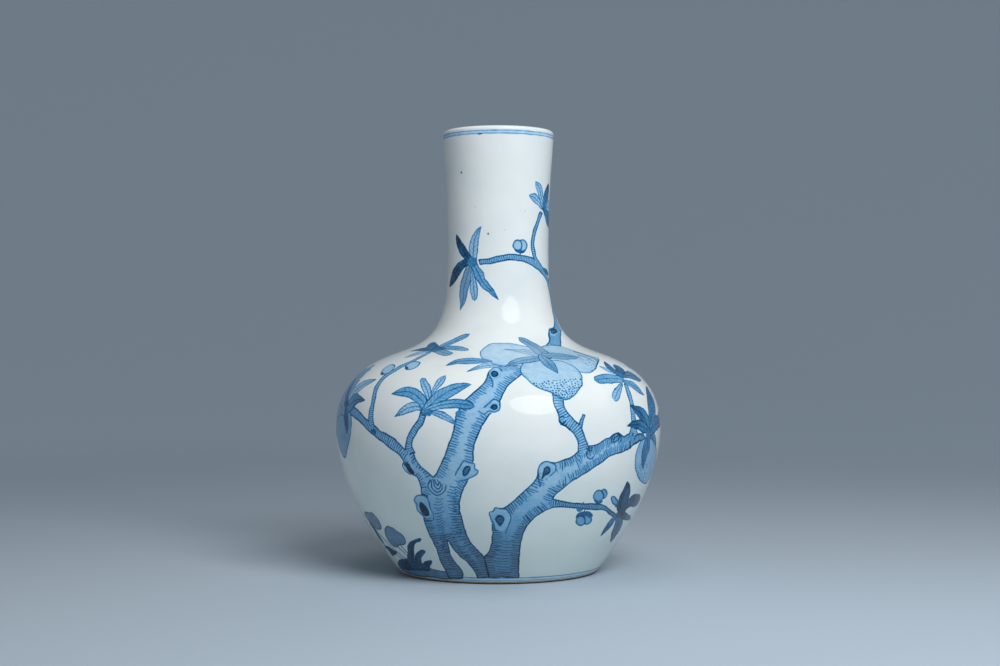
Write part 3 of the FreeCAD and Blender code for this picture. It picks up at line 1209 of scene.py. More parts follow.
SMALL_BRANCH = Limb(
    [(540, 497), (552.6, 499), (561.3, 500.6), (568.8, 502.5), (583.8, 503.8), (596.3, 503.8), (606.3, 506.3),
     (610, 510), (616, 513.8)],
    [(538, 514), (552.5, 507.8), (560, 507), (572.5, 507.8), (592.5, 509.8), (605, 510.6), (608.8, 513.8),
     (614.5, 517.5)], 1.75, 6, 0.42)
NECK_BRANCH = Limb(
    [(478.6, 259.6), (490, 258.4), (498.9, 256.1), (508.9, 254.4), (518.9, 254.7), (526.7, 256.1),
     (534, 258.5), (540, 264.8), (545.5, 270.5), (548.3, 280), (549.6, 288.9), (551.4, 300), (553.8, 311.1),
     (556.6, 320), (559, 325.6), (561.2, 330), (560.6, 336.7), (561.2, 346)],
    [(480.4, 264.6), (490, 263.9), (498.9, 262.2), (507.8, 260.2), (517.8, 260.9), (527.8, 263.3),
     (534.4, 267.2), (541.1, 272.8), (545.6, 278.9), (548.4, 288.9), (550.6, 300), (552.6, 312.2),
     (553.9, 318.9), (553.1, 327.8), (549.2, 330), (549, 334), (549.4, 340), (546, 346)], 1.5, 9, 0.37)
UPPER_TWIG = Limb.along([(541, 212.5), (536.3, 226), (533.1, 238), (533, 248), (534.6, 256), (538.5, 264),
                         (545, 275)], (3, 3.2, 3.4), 1.45)
LEFT_TWIG = Limb.along([(371.5, 428), (370.8, 414.4), (372.4, 405.6), (374, 397.8), (376, 388.9), (380.6, 381),
                        (386, 375.6), (392.2, 371.8), (401.1, 366.5), (410, 362.4), (430, 352)],
                       (5.4, 3.4, 3.4, 3, 2.6, 1.8), 1.6)
PALM_STEM = Limb.along([(410.5, 454), (408.6, 446), (410.2, 438), (416, 428), (421.5, 419.5), (424, 410)],
                       (9, 6.4, 6.6, 6.4, 6), 1.75, 0.40)
RIGHT_HIGH_STEM = Limb.along([(636, 440), (633.5, 420), (632, 405), (629, 394), (625.5, 383)], (4.8, 4, 3.2), 1.6)
EDGE_STUB = Limb.along([(630, 437), (632.8, 428), (633.5, 420)], (3.4, 3), 1.5, 0.34)
THORN_TWIG = Limb.along([(580, 428), (582, 420), (584, 414.5)], (4, 2.6), 1.6, 0.34)
LEFT_TREE = Tree((LEFT_LIMB, MAIN_TRUNK, LEFT_TWIG, PALM_STEM), gaps=(ROOT_GAP,))
RIGHT_TREE = Tree((RIGHT_TRUNK, BIG_BRANCH, FRUIT_LIMB, SMALL_BRANCH, THORN_TWIG, EDGE_STUB, RIGHT_HIGH_STEM))
NECK_TREE = Tree((NECK_BRANCH, UPPER_TWIG))

KNOTS = (
    Knot([(478, 411), (486, 402), (494.4, 399.4), (500.6, 405), (499.4, 410), (493.8, 412.5), (484, 414)],
         [(490.5, 407.5), (493, 404.8), (496.6, 405), (497.2, 408), (494, 409.6)],
         ([(484.5, 407.5), (488.8, 403.2), (494.4, 399.4), (500, 402), (500.4, 407), (498.5, 410.6), (493.8, 412.4),
           (489, 411), (483.8, 414.2), (478.1, 411.2)],)),
    Knot([(455.6, 476), (460, 466.3), (465, 461.3), (473, 462.5), (475, 468.8), (478.1, 471.3), (475, 475.6),
          (468.8, 478.8), (459, 481)],
         [(463.2, 471.5), (464.6, 468), (467, 466.4), (470.2, 467.2), (469, 471), (466.6, 475), (464, 475.6)],
         ([(455.6, 475), (460, 466.3), (464.4, 461.3), (470, 462.5), (474.6, 464), (474.6, 468.6), (478.1, 471.3),
           (475, 475.6), (468.8, 478.8), (458.8, 481.3)],)),
    Knot([(414.6, 500.6), (415.8, 497.3), (420, 495.6), (425, 496.3), (428, 500), (430.5, 508), (431, 516),
          (427, 519), (417.6, 510)],
         [(419.4, 504.5), (420.6, 502.6), (424, 504.5), (428, 511), (428.4, 515.4), (426, 516), (421, 510)],
         ([(422.6, 515.4), (417.5, 510), (416.7, 503.8), (414.4, 500.6), (415.6, 497.5), (420, 495.4), (425, 496.3),
           (428, 500), (430.2, 507.5), (433.1, 513.8), (433.8, 520)],
          [(420, 512), (424, 517), (429, 521.5)]), INK.line),
    Knot([(491, 513), (495, 508), (502, 508.6), (508, 512), (510.6, 518), (508.6, 526), (502, 531), (494, 527)],
         [(495.8, 519), (498, 515.4), (501, 515.6), (503.8, 518.6), (502.4, 522.6), (499.4, 525.4), (497.4, 522.4)],
         ([(495.8, 529.4), (493.4, 523.5), (490.8, 517.5), (490, 512.5), (493.8, 511), (495, 507.5), (500, 508.8),
           (506.3, 509.4), (511.2, 517.5), (508.6, 525), (505.6, 533.4)],)),
    Knot([(538.4, 472), (539.4, 466.3), (547.5, 461.2), (553, 463.2), (556.2, 468.8), (551, 475.6), (542, 480)],
         [(543.4, 472), (545, 468), (548, 466.4), (550, 469), (548.2, 473.6), (544, 475.8), (542.2, 478.6)],
         ([(540.3, 486.5), (538.3, 477), (538.2, 470.6), (539.4, 466.3), (547.5, 461.2), (551.3, 462.5),
           (555.4, 465), (556.2, 468.8), (550.2, 475.8)],)),
    Knot([(489.2, 374), (491.9, 368.8), (499.4, 368.8), (501.3, 375), (497, 378.6), (492, 378)],
         [(491.4, 373.8), (494, 371), (497.2, 372.4), (497, 375.4), (493.4, 376.4)],
         ([(490.6, 378), (488.8, 373.8), (491.9, 368.8), (497, 367), (502, 370.5)],
          [(490.6, 377), (492.8, 382), (492.6, 387)])),
    Knot([(405, 465), (408.5, 463), (413, 468), (413.5, 472), (409, 473)],
         [(405.6, 464.6), (407.4, 464), (411.4, 469), (413.8, 473.6), (411.4, 473.2), (407.6, 469)],
         ([(410.4, 474.4), (405, 470), (403, 463.1), (406.3, 462.4), (410, 464.6)],), INK.line),
    Knot([(550, 330), (554, 328.6), (558, 331), (556, 335), (551, 335)],
         [(550.6, 330.4), (554.2, 329), (557, 330.6), (555.6, 333), (552, 333.4)],
         ([(553.1, 327.8), (549.3, 329.6), (548.9, 333.3), (549.4, 340)],)),
)
FORK = [(426, 480), (432, 477.6), (440, 478), (445.6, 483), (446, 491), (441, 497), (433.6, 497), (428.6, 490)]
CORE_BLOTS = (
    [(467.6, 262), (469, 257.6), (473.4, 256.6), (477, 260), (475.4, 265.4), (470.6, 267.6)],
    [(424.4, 409.6), (430, 409), (432, 412.6), (429.4, 416.6), (424.6, 414.6)],
    [(455.8, 413), (458.6, 410), (461.8, 411), (460.4, 414), (461.6, 418), (457.6, 416.8)],
)
LOW_RIGHT_BLOTS = (
    [(618, 512.6), (618.4, 500), (623.6, 489), (628, 481), (630.2, 486), (629.6, 495), (626.4, 505), (621, 513.6)],
    [(620, 513), (627.4, 500.4), (634.6, 494), (640, 494.6), (639, 502), (634.6, 507), (630, 507), (625.4, 511.6),
     (630.4, 516), (630.4, 519.6), (622.6, 519.6), (617.6, 516)],
)
INK_BLOTS = (
    [(616.4, 368.4), (619.6, 366.6), (622.6, 370), (624, 375.6), (621.6, 378), (618.4, 374)],
    [(426.5, 347.6), (429, 343.8), (435.6, 342.2), (439.4, 346), (446, 348.4), (440, 350.4), (433, 352.2),
     (428.4, 350.4)],
    [(345.6, 408), (346.4, 394), (351, 384), (357, 377.4), (352.6, 386), (348.6, 396), (347.6, 407)],
    [(543.2, 267.4), (545.2, 267.8), (548, 275.4), (545.8, 274)],
    [(345.6, 405), (348, 414), (348.4, 426), (347, 435), (345.4, 428), (343.8, 414)],
    [(370.6, 430), (374.6, 429), (376.2, 433), (373, 435)],
    [(576.4, 507.6), (583.4, 508.6), (580.4, 511.6), (578.4, 512)],
)
FOLDS = (
    [(429.5, 480), (428, 486), (437.5, 495.5), (444.5, 491), (446, 485)],
    [(430.5, 480), (432.5, 488.8), (437.5, 492.5), (442, 488.8), (442, 483.8)],
    [(432.5, 479.5), (435, 486.3), (438, 488.8), (440.5, 486.3), (440, 482)],
    [(434.5, 480), (436.3, 483.8), (438, 485), (438.8, 482.5), (437.5, 480)],
    [(586.4, 448), (588.4, 451), (592.4, 450.4)], [(588, 445.8), (590, 448.4), (593, 447.6)],
    [(586.4, 452.5), (586.9, 456.3), (590.6, 458.8), (593.8, 456.6)],
    [(611.4, 440.6), (612.8, 435), (617.6, 433.6), (619.6, 437), (616, 441.4), (612, 441.6), (611.4, 440.6)],
    [(613.4, 439.6), (615.4, 437), (618, 436.6)], [(618.8, 433.2), (621.4, 438.6), (619.4, 443)],
    [(630, 448.8), (634, 444), (640, 440)], [(627.5, 450.4), (630.4, 446), (629.6, 441)],
    [(634, 440), (636, 435.6), (640, 433.8), (642.6, 436.6)],
    [(560, 417.4), (562.6, 416.4), (564.6, 417.6)], [(560.4, 421.4), (563, 423.6), (565.6, 421)],
    [(561, 424), (565.6, 426.4), (570, 430.6)],
    [(520, 252.4), (520.2, 254.8)], [(584.4, 510), (584.8, 513)], [(478.4, 134.3), (482, 134.1)],
)
# Width in millimetres and course of the darkest lines.
INK_LINES = (
    (2.6, [(574, 351.6), (580, 353.2), (588, 356), (594, 358.6), (598.6, 361)]),
    (1.2, [(578, 354.6), (586, 357.6), (592, 360.6)]), (1, [(598.6, 361), (597.4, 363.6), (596, 367)]),
    (1.3, [(649.6, 478.5), (652.4, 472), (654.4, 462)]), (1, [(618.6, 512), (622, 500), (627.6, 486)]),
    (1, [(622, 512), (630, 503), (638, 497)]),
)
INK_DABS = (
    (486.4, 419.2), (490.6, 413.6), (481.2, 428.4), (478.6, 433.4), (433.2, 477), (579.5, 424), (541, 211.4),
    (621.6, 383.6), (625.4, 384.4), (563.4, 421.6), (565.4, 424.4), (583.2, 502.8), (615, 389),
    (500.2, 404.4), (596.8, 503),
)
# Upper left, lower left, upper right and lower right corner of each ladder, and its rungs.
TRUNK_RUNGS = (
    ((432.5, 498), (440, 556), (443.5, 499), (447, 545), 19), ((447, 486), (449, 540), (458, 487), (464, 538), 18),
    ((441, 546), (452, 574), (447.5, 546), (458, 574), 9), ((453, 546), (480, 576), (465, 546), (484, 574), 10),
    ((496, 540), (492, 574), (514, 542), (516, 574), 12),
)
FRUITS = (
    Fruit([(540, 347.5), (545, 345.6), (557.5, 345.6), (568.8, 348.8), (577.5, 351.9), (587.5, 355), (599.4, 360),
           (597.5, 363), (596.3, 368.1), (590, 372.5), (578, 372), (560, 366), (545, 356)], PALE,
          (583, 361), (593, 352), 60),
    Fruit([(480, 352.5), (483.8, 348.1), (490.6, 343.8), (500, 343.1), (511.3, 343.4), (522.5, 345.6), (536, 350),
           (534, 359), (522, 364), (507.5, 366.3), (500, 365.6), (491.3, 363.1), (483.8, 359.6)], PALE),
    Fruit([(520.6, 366.9), (523.8, 363.1), (531.3, 360.6), (540, 359.8), (550, 360), (562.5, 361.3), (573.8, 366.3),
           (580, 372.5), (582.3, 378.8), (581.3, 386.3), (576.3, 393.1), (566.3, 400), (560, 398.1), (552.5, 393.1),
           (541.3, 389.4), (533.8, 385.6), (526.3, 378.8), (521.3, 373.8)], PALE, (556, 380.5), (558, 400), 130),
    Fruit([(345.6, 405.6), (351.1, 414.4), (351.3, 425.6), (350, 437.8), (347.8, 447.8), (344.8, 458.3), (341.1, 452.2),
           (338.9, 445.6), (336.9, 431.1), (338.3, 417.8)], MIDDLE, grey=0.4),
    Fruit([(650, 437.5), (654.5, 443), (656.4, 450), (655.8, 460), (652.6, 471.3), (648.8, 480), (645.6, 484),
           (641.3, 481.9), (636.9, 475), (635, 463.8), (635.6, 455), (638.8, 445), (643, 439)], TRUNK,
          (645, 463), (648, 484), 120),
)
BUDS = (
    Bud((((522.6, 245.4), (4.4, 5.6), 0), ((517.6, 245.2), (4.8, 5.4), 0)),
        [(513.8, 248.4), (518.6, 249.8), (520, 249), (522, 250.2), (525.8, 249), (524.4, 252), (520, 253.2),
         (515.6, 251.8)]),
    Bud((((388, 369.4), (7.8, 3.2), -32),), [(380.4, 374), (382.4, 371.8), (384.2, 373.6), (382, 375.2)]),
    Bud((((412.4, 365.4), (7.8, 3.4), -20),), [(404.8, 368.4), (406.6, 366.6), (408.6, 368.2), (406.8, 369.6)]),
    Bud((((603.6, 494), (3.4, 5.2), 14), ((598.6, 495.8), (5.2, 6), 30)),
        [(593.6, 498), (597, 500.6), (602.4, 500), (602.6, 502.4), (598, 504), (594.6, 502)], MIDDLE),
    Bud((((614.4, 500.6), (2.8, 4.8), -30),), [(614.6, 505.6), (617.4, 503.6), (618.6, 508), (617, 508)], MIDDLE),
    Bud((((587, 519.6), (4.6, 4.8), 20), ((580.6, 520.8), (4.6, 5), 0)),
        [(575.6, 518.4), (577.6, 513.6), (584, 511.2), (590, 512), (592.8, 515.4), (591, 517.8), (585, 516.4),
         (580, 516)], MIDDLE),
)
# Height, width and load of each line turned on the wheel, under the lip and at the foot.
RINGS = (
    (354.7, 2.6, 0.24), (355.9, 0.9, 0.62), (353.5, 0.9, 0.60), (3.9, 3.4, 0.16), (5.4, 1.1, 0.62), (3, 0.9, 0.50),
)
# Place, half width in millimetres and strength of each speck.
IRON_SPECKS = (
    ((461.5, 172.8), 0.85, 1), ((488.2, 233.4), 0.75, 1), ((382, 378.5), 0.70, 1), ((380.8, 380.2), 0.55, 0.9),
    ((563.8, 484.6), 0.85, 1), ((475, 207), 0.45, 0.4), ((525, 211), 0.45, 0.4),
    ((505, 230), 0.40, 0.35), ((540, 135.5), 0.5, 0.45), ((485.4, 439.4), 0.4, 0.25), ((610, 480.4), 0.4, 0.3),
)


# The back, which the photograph doesn't show. Its branches are drawn in millimetres on the
# unrolled wall, from the middle of the back at the belly's widest height.

BACK_PLACE, NECK_TWIG_PLACE = (180, 117), (90, 250)
BACK_RIGHT_TREE = Tree((
    Limb.along([(-262, -1), (-250, -5), (-232, -11), (-206, -13), (-178, -21), (-150, -29), (-120, -25), (-92, -14),
                (-64, -13), (-42, -23), (-27, -36)], (7.4, 8.2, 7.6, 7, 6.4, 5.6), 1.8, 0.42),
    Limb.along([(-212, -12), (-209, -24), (-200, -35), (-193, -47)], (4.4, 3, 2.6), 1.5),
    Limb.along([(-134, -27), (-126, -10), (-130, 8), (-121, 26)], (5, 3.6, 2.8), 1.5),
    Limb.along([(-86, -14), (-76, -2), (-77, 12), (-70, 22)], (4.6, 3.2, 2.4), 1.5),
    Limb.along([(-46, -20), (-30, -8), (-14, -4), (2, 6), (12, 18)], (4.8, 4, 2.8), 1.5)))
BACK_LEFT_TREE = Tree((
    Limb.along([(258, -18), (240, -25), (216, -29), (190, -22), (166, -25), (142, -38), (118, -46), (98, -56)],
               (8.4, 8, 7, 6.4, 5.2, 4), 1.8, 0.42),
    Limb.along([(194, -23), (186, -6), (178, 6), (170, 20)], (5, 3.6, 2.6), 1.5),
    Limb.along([(138, -38), (124, -28), (112, -12), (108, 2)], (4.6, 3.4, 2.6), 1.5)))
NECK_BACK_TWIG = Tree((
    Limb.along([(-11, 17), (-4, 9), (8, 3), (20, 1), (31, -5), (41, -14)], (3.4, 3, 2.4), 1.4),))
BACK_KNOTS = (
    Knot([(-172, -27), (-166, -32), (-160, -31), (-158, -25), (-163, -21), (-170, -20)],
         [(-167, -26), (-165, -29), (-161.5, -28), (-162, -24), (-166, -23)],
         ([(-175, -19), (-171, -27), (-166, -32), (-160, -31), (-157.6, -25), (-160, -19)],)),
    Knot([(-110, -25), (-106, -29), (-100, -27), (-99, -21), (-104, -18), (-109, -19)],
         [(-107, -23), (-104.6, -25.6), (-102, -24), (-103, -21), (-106, -20.6)],
         ([(-112, -24), (-107, -29), (-101, -28), (-98.6, -22), (-101, -16)],)),
    Knot([(226, -33), (231, -36), (237, -33), (238, -26), (232, -23), (227, -25)],
         [(229.6, -29), (232, -32), (235, -29.6), (233, -26), (230, -26)],
         ([(224, -27), (226, -33), (231, -36), (237, -33), (239, -25)],)),
)
EDGE_LEAVES = (
    Leaf([(-271, -2), (-258, -13), (-248, -28)], 9, MIDDLE, BROAD, 0.4),
    Leaf([(-270, 1), (-257, 11), (-247, 27)], 11, DEEP, BROAD, 0.2),
    Leaf([(-270, 0), (-252, -6), (-231, -4)], 12, DEEP, BROAD),
    Leaf([(256, -20), (240, -36), (222, -44)], 12, MIDDLE, BROAD),
    Leaf([(256, -18), (242, -6), (228, 8)], 12, DEEP, BROAD),
)
POD = Motif((0, 0), fruits=(
    Fruit([(0, 0), (7, 3), (12, 11), (13.5, 21), (10, 32), (2, 40), (-6, 36), (-12, 26), (-13, 14), (-8, 4)],
          PALE, (0, 20), (0, 38), 90),), leaves=(
    Leaf([(0, 1), (-14, 3), (-25, 12)], 9, MIDDLE, BROAD),
    Leaf([(0, 1), (13, -5), (27, -3)], 9, MIDDLE, BROAD),
    Leaf([(0, 0), (-9, -11), (-22, -15)], 8, DEEP),
    Leaf([(0, 0), (5, -13), (15, -22)], 7.6, LIGHT),
    Leaf([(0, -2), (1, 12), (7, 24)], 8, DEEP, LANCE, 0.2, 0.3)), cores=(
    [(-3, -1), (0, -4), (4, -1), (2, 3), (-2, 3)],))
PALM = Motif((424, 412), PALM_SPRAY, cores=CORE_BLOTS[1:2])
STAR = Motif((477, 262), NECK_SPRAY, cores=CORE_BLOTS[:1])
CLUSTER = Motif((557, 397), FRUIT_LEFT_LEAVES + FRUIT_SPRAY, FRUITS[:3])
TWIN_BUD = Motif((520, 254), buds=BUDS[:1])
SIDE_BUDS = Motif((598, 505), buds=BUDS[3:4])
LOW_BUD = Motif((584, 511), buds=BUDS[5:6])
HIGH_SPRAY = Motif((622, 380), RIGHT_HIGH_SPRAY[1:])
GRASS = Motif((420, 577), fruits=(
    Fruit([(364.5, 511), (367, 512.5), (370.5, 512.2), (375, 515.5), (379.5, 522), (381.5, 527.5), (380.5, 529.8),
           (377.5, 529.5), (374, 527), (370, 522), (366.5, 518), (364.8, 514)], DEEP, grey=0.45),
    Fruit([(385.5, 527.5), (388, 526.2), (392, 527.5), (397, 531), (402, 534.5), (405, 539), (405.5, 543), (404, 545),
           (400, 544.5), (397, 547), (393, 546), (388, 540), (385, 534)], DEEP, grey=0.45),
    Fruit([(398, 562), (401, 559.5), (412, 560), (424, 564), (432, 569), (441, 571), (449, 573), (450, 578), (432, 577),
           (418, 576.5), (408, 573.5), (401, 569)], DEEP, grey=0.4)),
    cores=GROUND_BLADES, stems=GROUND_STEMS, core=NIGHT)
# Each motif with its turn from the front in degrees, its height and scale in millimetres,
# whether it is mirrored, and its lean in degrees.
BACK = (
    (CLUSTER, 169, 150, 0.96, True), (PALM, 97, 158, 0.80, True, 14), (POD, 149, 98, 0.9),
    (STAR, 128, 96, 0.86, True, 150), (PALM, 222.5, 164, 0.80, False, -10), (STAR, 253, 102, 0.86, False, -60),
    (POD, 226.4, 117, 0.94, True), (SIDE_BUDS, 262, 126, 0.9, False, 30), (LOW_BUD, 122.4, 116, 0.9, False, -30),
    (SIDE_BUDS, 84.4, 131, 0.86, True), (STAR, 148, 262, 0.80, True, 20), (TWIN_BUD, 116, 254.5, 0.80, True),
    (GRASS, 140, 4, 0.9, True), (GRASS, 236, 4, 0.9), (HIGH_SPRAY, 185.4, 97, 0.92, False, 70),
)


class Grain(Enum):
    """Sizes of natural marks in fired porcelain, in millimetres."""

    GLAZE_RIPPLE = 14.0
    GLAZE_PITTING = 1.1
    CLAY_CLOUD = 38.0
    COBALT_POOLING = 2.6
    COBALT_SPECKLE = 0.55
    CLAY_GRIT = 0.5
    SLIP_STREAK = 3.0

    @property
    def per_metre(self) -> float:
        """Scale for a noise that reads the object's place in metres."""
        return 1.0 / (self.value * MM)


def add_node(tree: bpy.types.NodeTree, kind: str, inputs: dict | None = None,
             **settings: str | bool) -> bpy.types.Node:
    """Adds a node with its settings, values and links.

    Args:
        tree: The material's nodes.
        kind: Blender's name for the node, after "ShaderNode".
        inputs: For each input a value, the output that feeds it, or a node whose
            first output in use does.
        settings: The node's own properties.

    Returns:
        The node.
    """
    node = tree.nodes.new("ShaderNode" + kind)
    for name, value in settings.items():
        setattr(node, name, value)
    for name, value in (inputs or {}).items():
        if isinstance(value, bpy.types.Node):
            value = next(output for output in value.outputs if output.enabled)
        if isinstance(value, bpy.types.NodeSocket):
            tree.links.new(value, node.inputs[name])
        else:
            node.inputs[name].default_value = value
    return node


def fill_ramp(node: bpy.types.Node, stops: Sequence[tuple[float, str]]) -> None:
    """Sets a colour ramp's stops.

    Args:
        node: The ramp.
        stops: Place and colour of each stop, in rising order.
    """
    elements = node.color_ramp.elements
    while len(elements) > len(stops):
        elements.remove(elements[-1])
    while len(elements) < len(stops):
        elements.new(1.0)
    for element, (place, colour) in zip(elements, stops):
        element.position = place
        element.color = linear(colour)


def new_material(name: str) -> tuple[bpy.types.Material, bpy.types.NodeTree]:
    """Makes an empty node material.

    Args:
        name: Its name.

    Returns:
        The material and its nodes.
    """
    material = bpy.data.materials.new(name)
    material.use_nodes = True
    material.node_tree.nodes.clear()
    return material, material.node_tree


@dataclass(frozen=True)
class GlazedPorcelain:
    """Porcelain under a clear glaze, fired glossy.

    The glaze gives sharp, bright reflections over a cool white body. It ripples
    very gently where it ran, and its white varies like thin milk.
    """

    name: str = "glazed_porcelain_fired"
    white: str = "E6ECEC"
    milky: str = "DDE6E7"
    # Tint towards the foot, for glaze that pools there and for painted shade.
    pooled_glaze_and_shade: str = "F2F9F6"
    pooled_shade_full_mm: float = 20.0
    pooled_shade_gone_mm: float = 150.0
    roughness: float = 0.06
    ior: float = 1.5
    ripple_mm: float = 0.10
    pitting_mm: float = 0.006

    def body(self, tree: bpy.types.NodeTree) -> tuple[bpy.types.Node, bpy.types.Node]:
        """Lays the white body's cloudiness and the glaze's ripple.

        Args:
            tree: The material's nodes.

        Returns:
            The nodes of the body's colour and of the normal under the ripple.
        """
        place = add_node(tree, "TexCoord").outputs["Object"]
        cloud = add_node(tree, "TexNoise", {"Vector": place, "Scale": Grain.CLAY_CLOUD.per_metre, "Detail": 3.0})
        white = add_node(tree, "ValToRGB", {"Fac": cloud})
        fill_ramp(white, [(0.35, self.milky), (0.65, self.white)])
        under = {}
        for grain, depth_mm in ((Grain.GLAZE_RIPPLE, self.ripple_mm), (Grain.GLAZE_PITTING, self.pitting_mm)):
            relief = add_node(tree, "TexNoise", {"Vector": place, "Scale": grain.per_metre, "Detail": 1.0})
            normal = add_node(tree, "Bump", {
                "Strength": 1.0, "Distance": depth_mm * MM, "Height": relief, **under})
            under = {"Normal": normal}
        return white, normal

    def shine(self, tree: bpy.types.NodeTree, colour: bpy.types.Node, normal: bpy.types.Node) -> None:
        """Ends the material in a glossy glaze, tinted greener and a little darker towards the foot: partly glaze that
        pools there, partly painted shade.

        Args:
            tree: The material's nodes.
            colour: The node of its colour.
            normal: The node of its normal.
        """
        place = add_node(tree, "TexCoord").outputs["Object"]
        height = add_node(tree, "SeparateXYZ", {"Vector": place}).outputs["Z"]
        # Painted shade and glaze pooling: towards the foot the colour is multiplied by a greener, darker tint.
        rise = add_node(tree, "MapRange", {
            "Value": height, "From Min": self.pooled_shade_full_mm * MM, "From Max": self.pooled_shade_gone_mm * MM},
            interpolation_type="SMOOTHSTEP")
        pooled_shade_tinge = add_node(tree, "ValToRGB", {"Fac": rise})
        fill_ramp(pooled_shade_tinge, [(0.0, self.pooled_glaze_and_shade), (1.0, "FFFFFF")])
        tinted = add_node(tree, "Mix", {"Factor": 1.0, "A": colour, "B": pooled_shade_tinge}, data_type="RGBA",
                          blend_type="MULTIPLY")
        shader = add_node(tree, "BsdfPrincipled", {
            "Base Color": tinted, "Roughness": self.roughness, "IOR": self.ior, "Normal": normal})
        add_node(tree, "OutputMaterial", {"Surface": shader})

    def build(self) -> bpy.types.Material:
        """Makes the plain glaze of the inside and the underside.

        Returns:
            The material.
        """
        material, tree = new_material(self.name)
        self.shine(tree, *self.body(tree))
        return material


@dataclass(frozen=True)
class UnderglazeBlue(GlazedPorcelain):
    """Cobalt blue brushed on raw porcelain, then glazed and fired.

    Thin washes fire to a soft sky blue and thick ones to blue black. The pigment
    pools in clouds and leaves dark grains, while the glaze over it stays smooth.
    """

    name: str = "underglaze_cobalt_blue_painted"
    steps: tuple[tuple[float, str], ...] = (
        (0.0, "E6ECEC"), (0.12, "CADDEA"), (0.25, "A8CBE3"), (0.375, "7EB2D8"), (0.50, "5A9CCB"),
        (0.625, "3580B5"), (0.73, "1E6192"), (0.83, "134364"), (1.0, "082033"))
    fullest: float = 1.2
    bite: float = 16.0
    grey_wash: str = "8FA3B0"
    iron_spot: str = "4A3024"

    def build(self) -> bpy.types.Material:
        """Makes the painted glaze, which reads cobalt, grey and iron from the skin.

        Returns:
            The material.
        """
        material, tree = new_material(self.name)
        white, normal = self.body(tree)
        place = add_node(tree, "TexCoord").outputs["Object"]
        cobalt, grey, iron = (
            add_node(tree, "Attribute", attribute_name=name).outputs["Fac"] for name in PIGMENTS)
        uneven = []
        for grain, detail, spread in ((Grain.COBALT_POOLING, 3.0, 0.05), (Grain.COBALT_SPECKLE, 2.0, 0.07)):
            noise = add_node(tree, "TexNoise", {"Vector": place, "Scale": grain.per_metre, "Detail": detail})
            uneven.append(add_node(tree, "MapRange", {
                "Value": noise, "From Min": 0.3, "From Max": 0.7, "To Min": 1.0 - spread, "To Max": 1.0 + spread}))
        both = add_node(tree, "Math", dict(enumerate(uneven)), operation="MULTIPLY")
        load = add_node(tree, "Math", {0: cobalt, 1: both}, operation="MULTIPLY")
        share = add_node(tree, "Math", {0: load, 1: self.fullest}, operation="DIVIDE")
        blue = add_node(tree, "ValToRGB", {"Fac": share})
        fill_ramp(blue, self.steps)
        bare = add_node(tree, "Math", {0: cobalt, 1: self.bite}, operation="MULTIPLY", use_clamp=True)
        painted = add_node(tree, "Mix", {"Factor": bare, "A": white, "B": blue}, data_type="RGBA")
        greyness = add_node(tree, "Math", {0: grey, 1: load}, operation="MULTIPLY")
        greyed = add_node(tree, "Mix", {"Factor": greyness, "A": painted, "B": linear(self.grey_wash)},
                          data_type="RGBA")
        spotted = add_node(tree, "Mix", {"Factor": iron, "A": greyed, "B": linear(self.iron_spot)},
                           data_type="RGBA")
        self.shine(tree, spotted, normal)
        return material


@dataclass(frozen=True)
class MattClay:
    """Fired clay without glaze: dry, matt and finely gritty, tanned by iron where bare, and darkened at its very bottom
    by an optional painted contact shadow.
    """

    name: str
    light: str
    dark: str
    grain: Grain
    roughness: float = 0.8
    relief_mm: float = 0.05
    # Colour of a painted contact shadow at the very bottom, where the foot meets the table; none when empty.
    painted_contact_shadow: str = ""
    contact_shadow_mm: float = 1.3
    cloud_grains: float = 8.0

    def build(self) -> bpy.types.Material:
        """Makes the clay.

        Returns:
            The material.
        """
        material, tree = new_material(self.name)
        place = add_node(tree, "TexCoord").outputs["Object"]
        cloud, grit = (add_node(tree, "TexNoise", {"Vector": place, "Scale": scale, "Detail": 4.0})
                       for scale in (self.grain.per_metre / self.cloud_grains, self.grain.per_metre))
        colour = add_node(tree, "ValToRGB", {"Fac": cloud})
        fill_ramp(colour, [(0.3, self.dark), (0.7, self.light)])
        rough = add_node(tree, "MapRange", {
            "Value": grit, "To Min": self.roughness - 0.1, "To Max": self.roughness + 0.1})
        bump = add_node(tree, "Bump", {"Strength": 1.0, "Distance": self.relief_mm * MM, "Height": grit})
        # Painted contact shadow: the lowest millimetre or so is coloured dark, where shade falls under the foot.
        if self.painted_contact_shadow:
            height = add_node(tree, "SeparateXYZ", {"Vector": place}).outputs["Z"]
            above_contact_shadow = add_node(tree, "MapRange", {
                "Value": height, "From Min": self.contact_shadow_mm * MM / 2, "From Max": self.contact_shadow_mm * MM},
                interpolation_type="SMOOTHSTEP")
            colour = add_node(tree, "Mix", {"Factor": above_contact_shadow, "A": linear(self.painted_contact_shadow), "B": colour},
                              data_type="RGBA")
        shader = add_node(tree, "BsdfPrincipled", {"Base Color": colour, "Roughness": rough, "Normal": bump})
        add_node(tree, "OutputMaterial", {"Surface": shader})
        return material


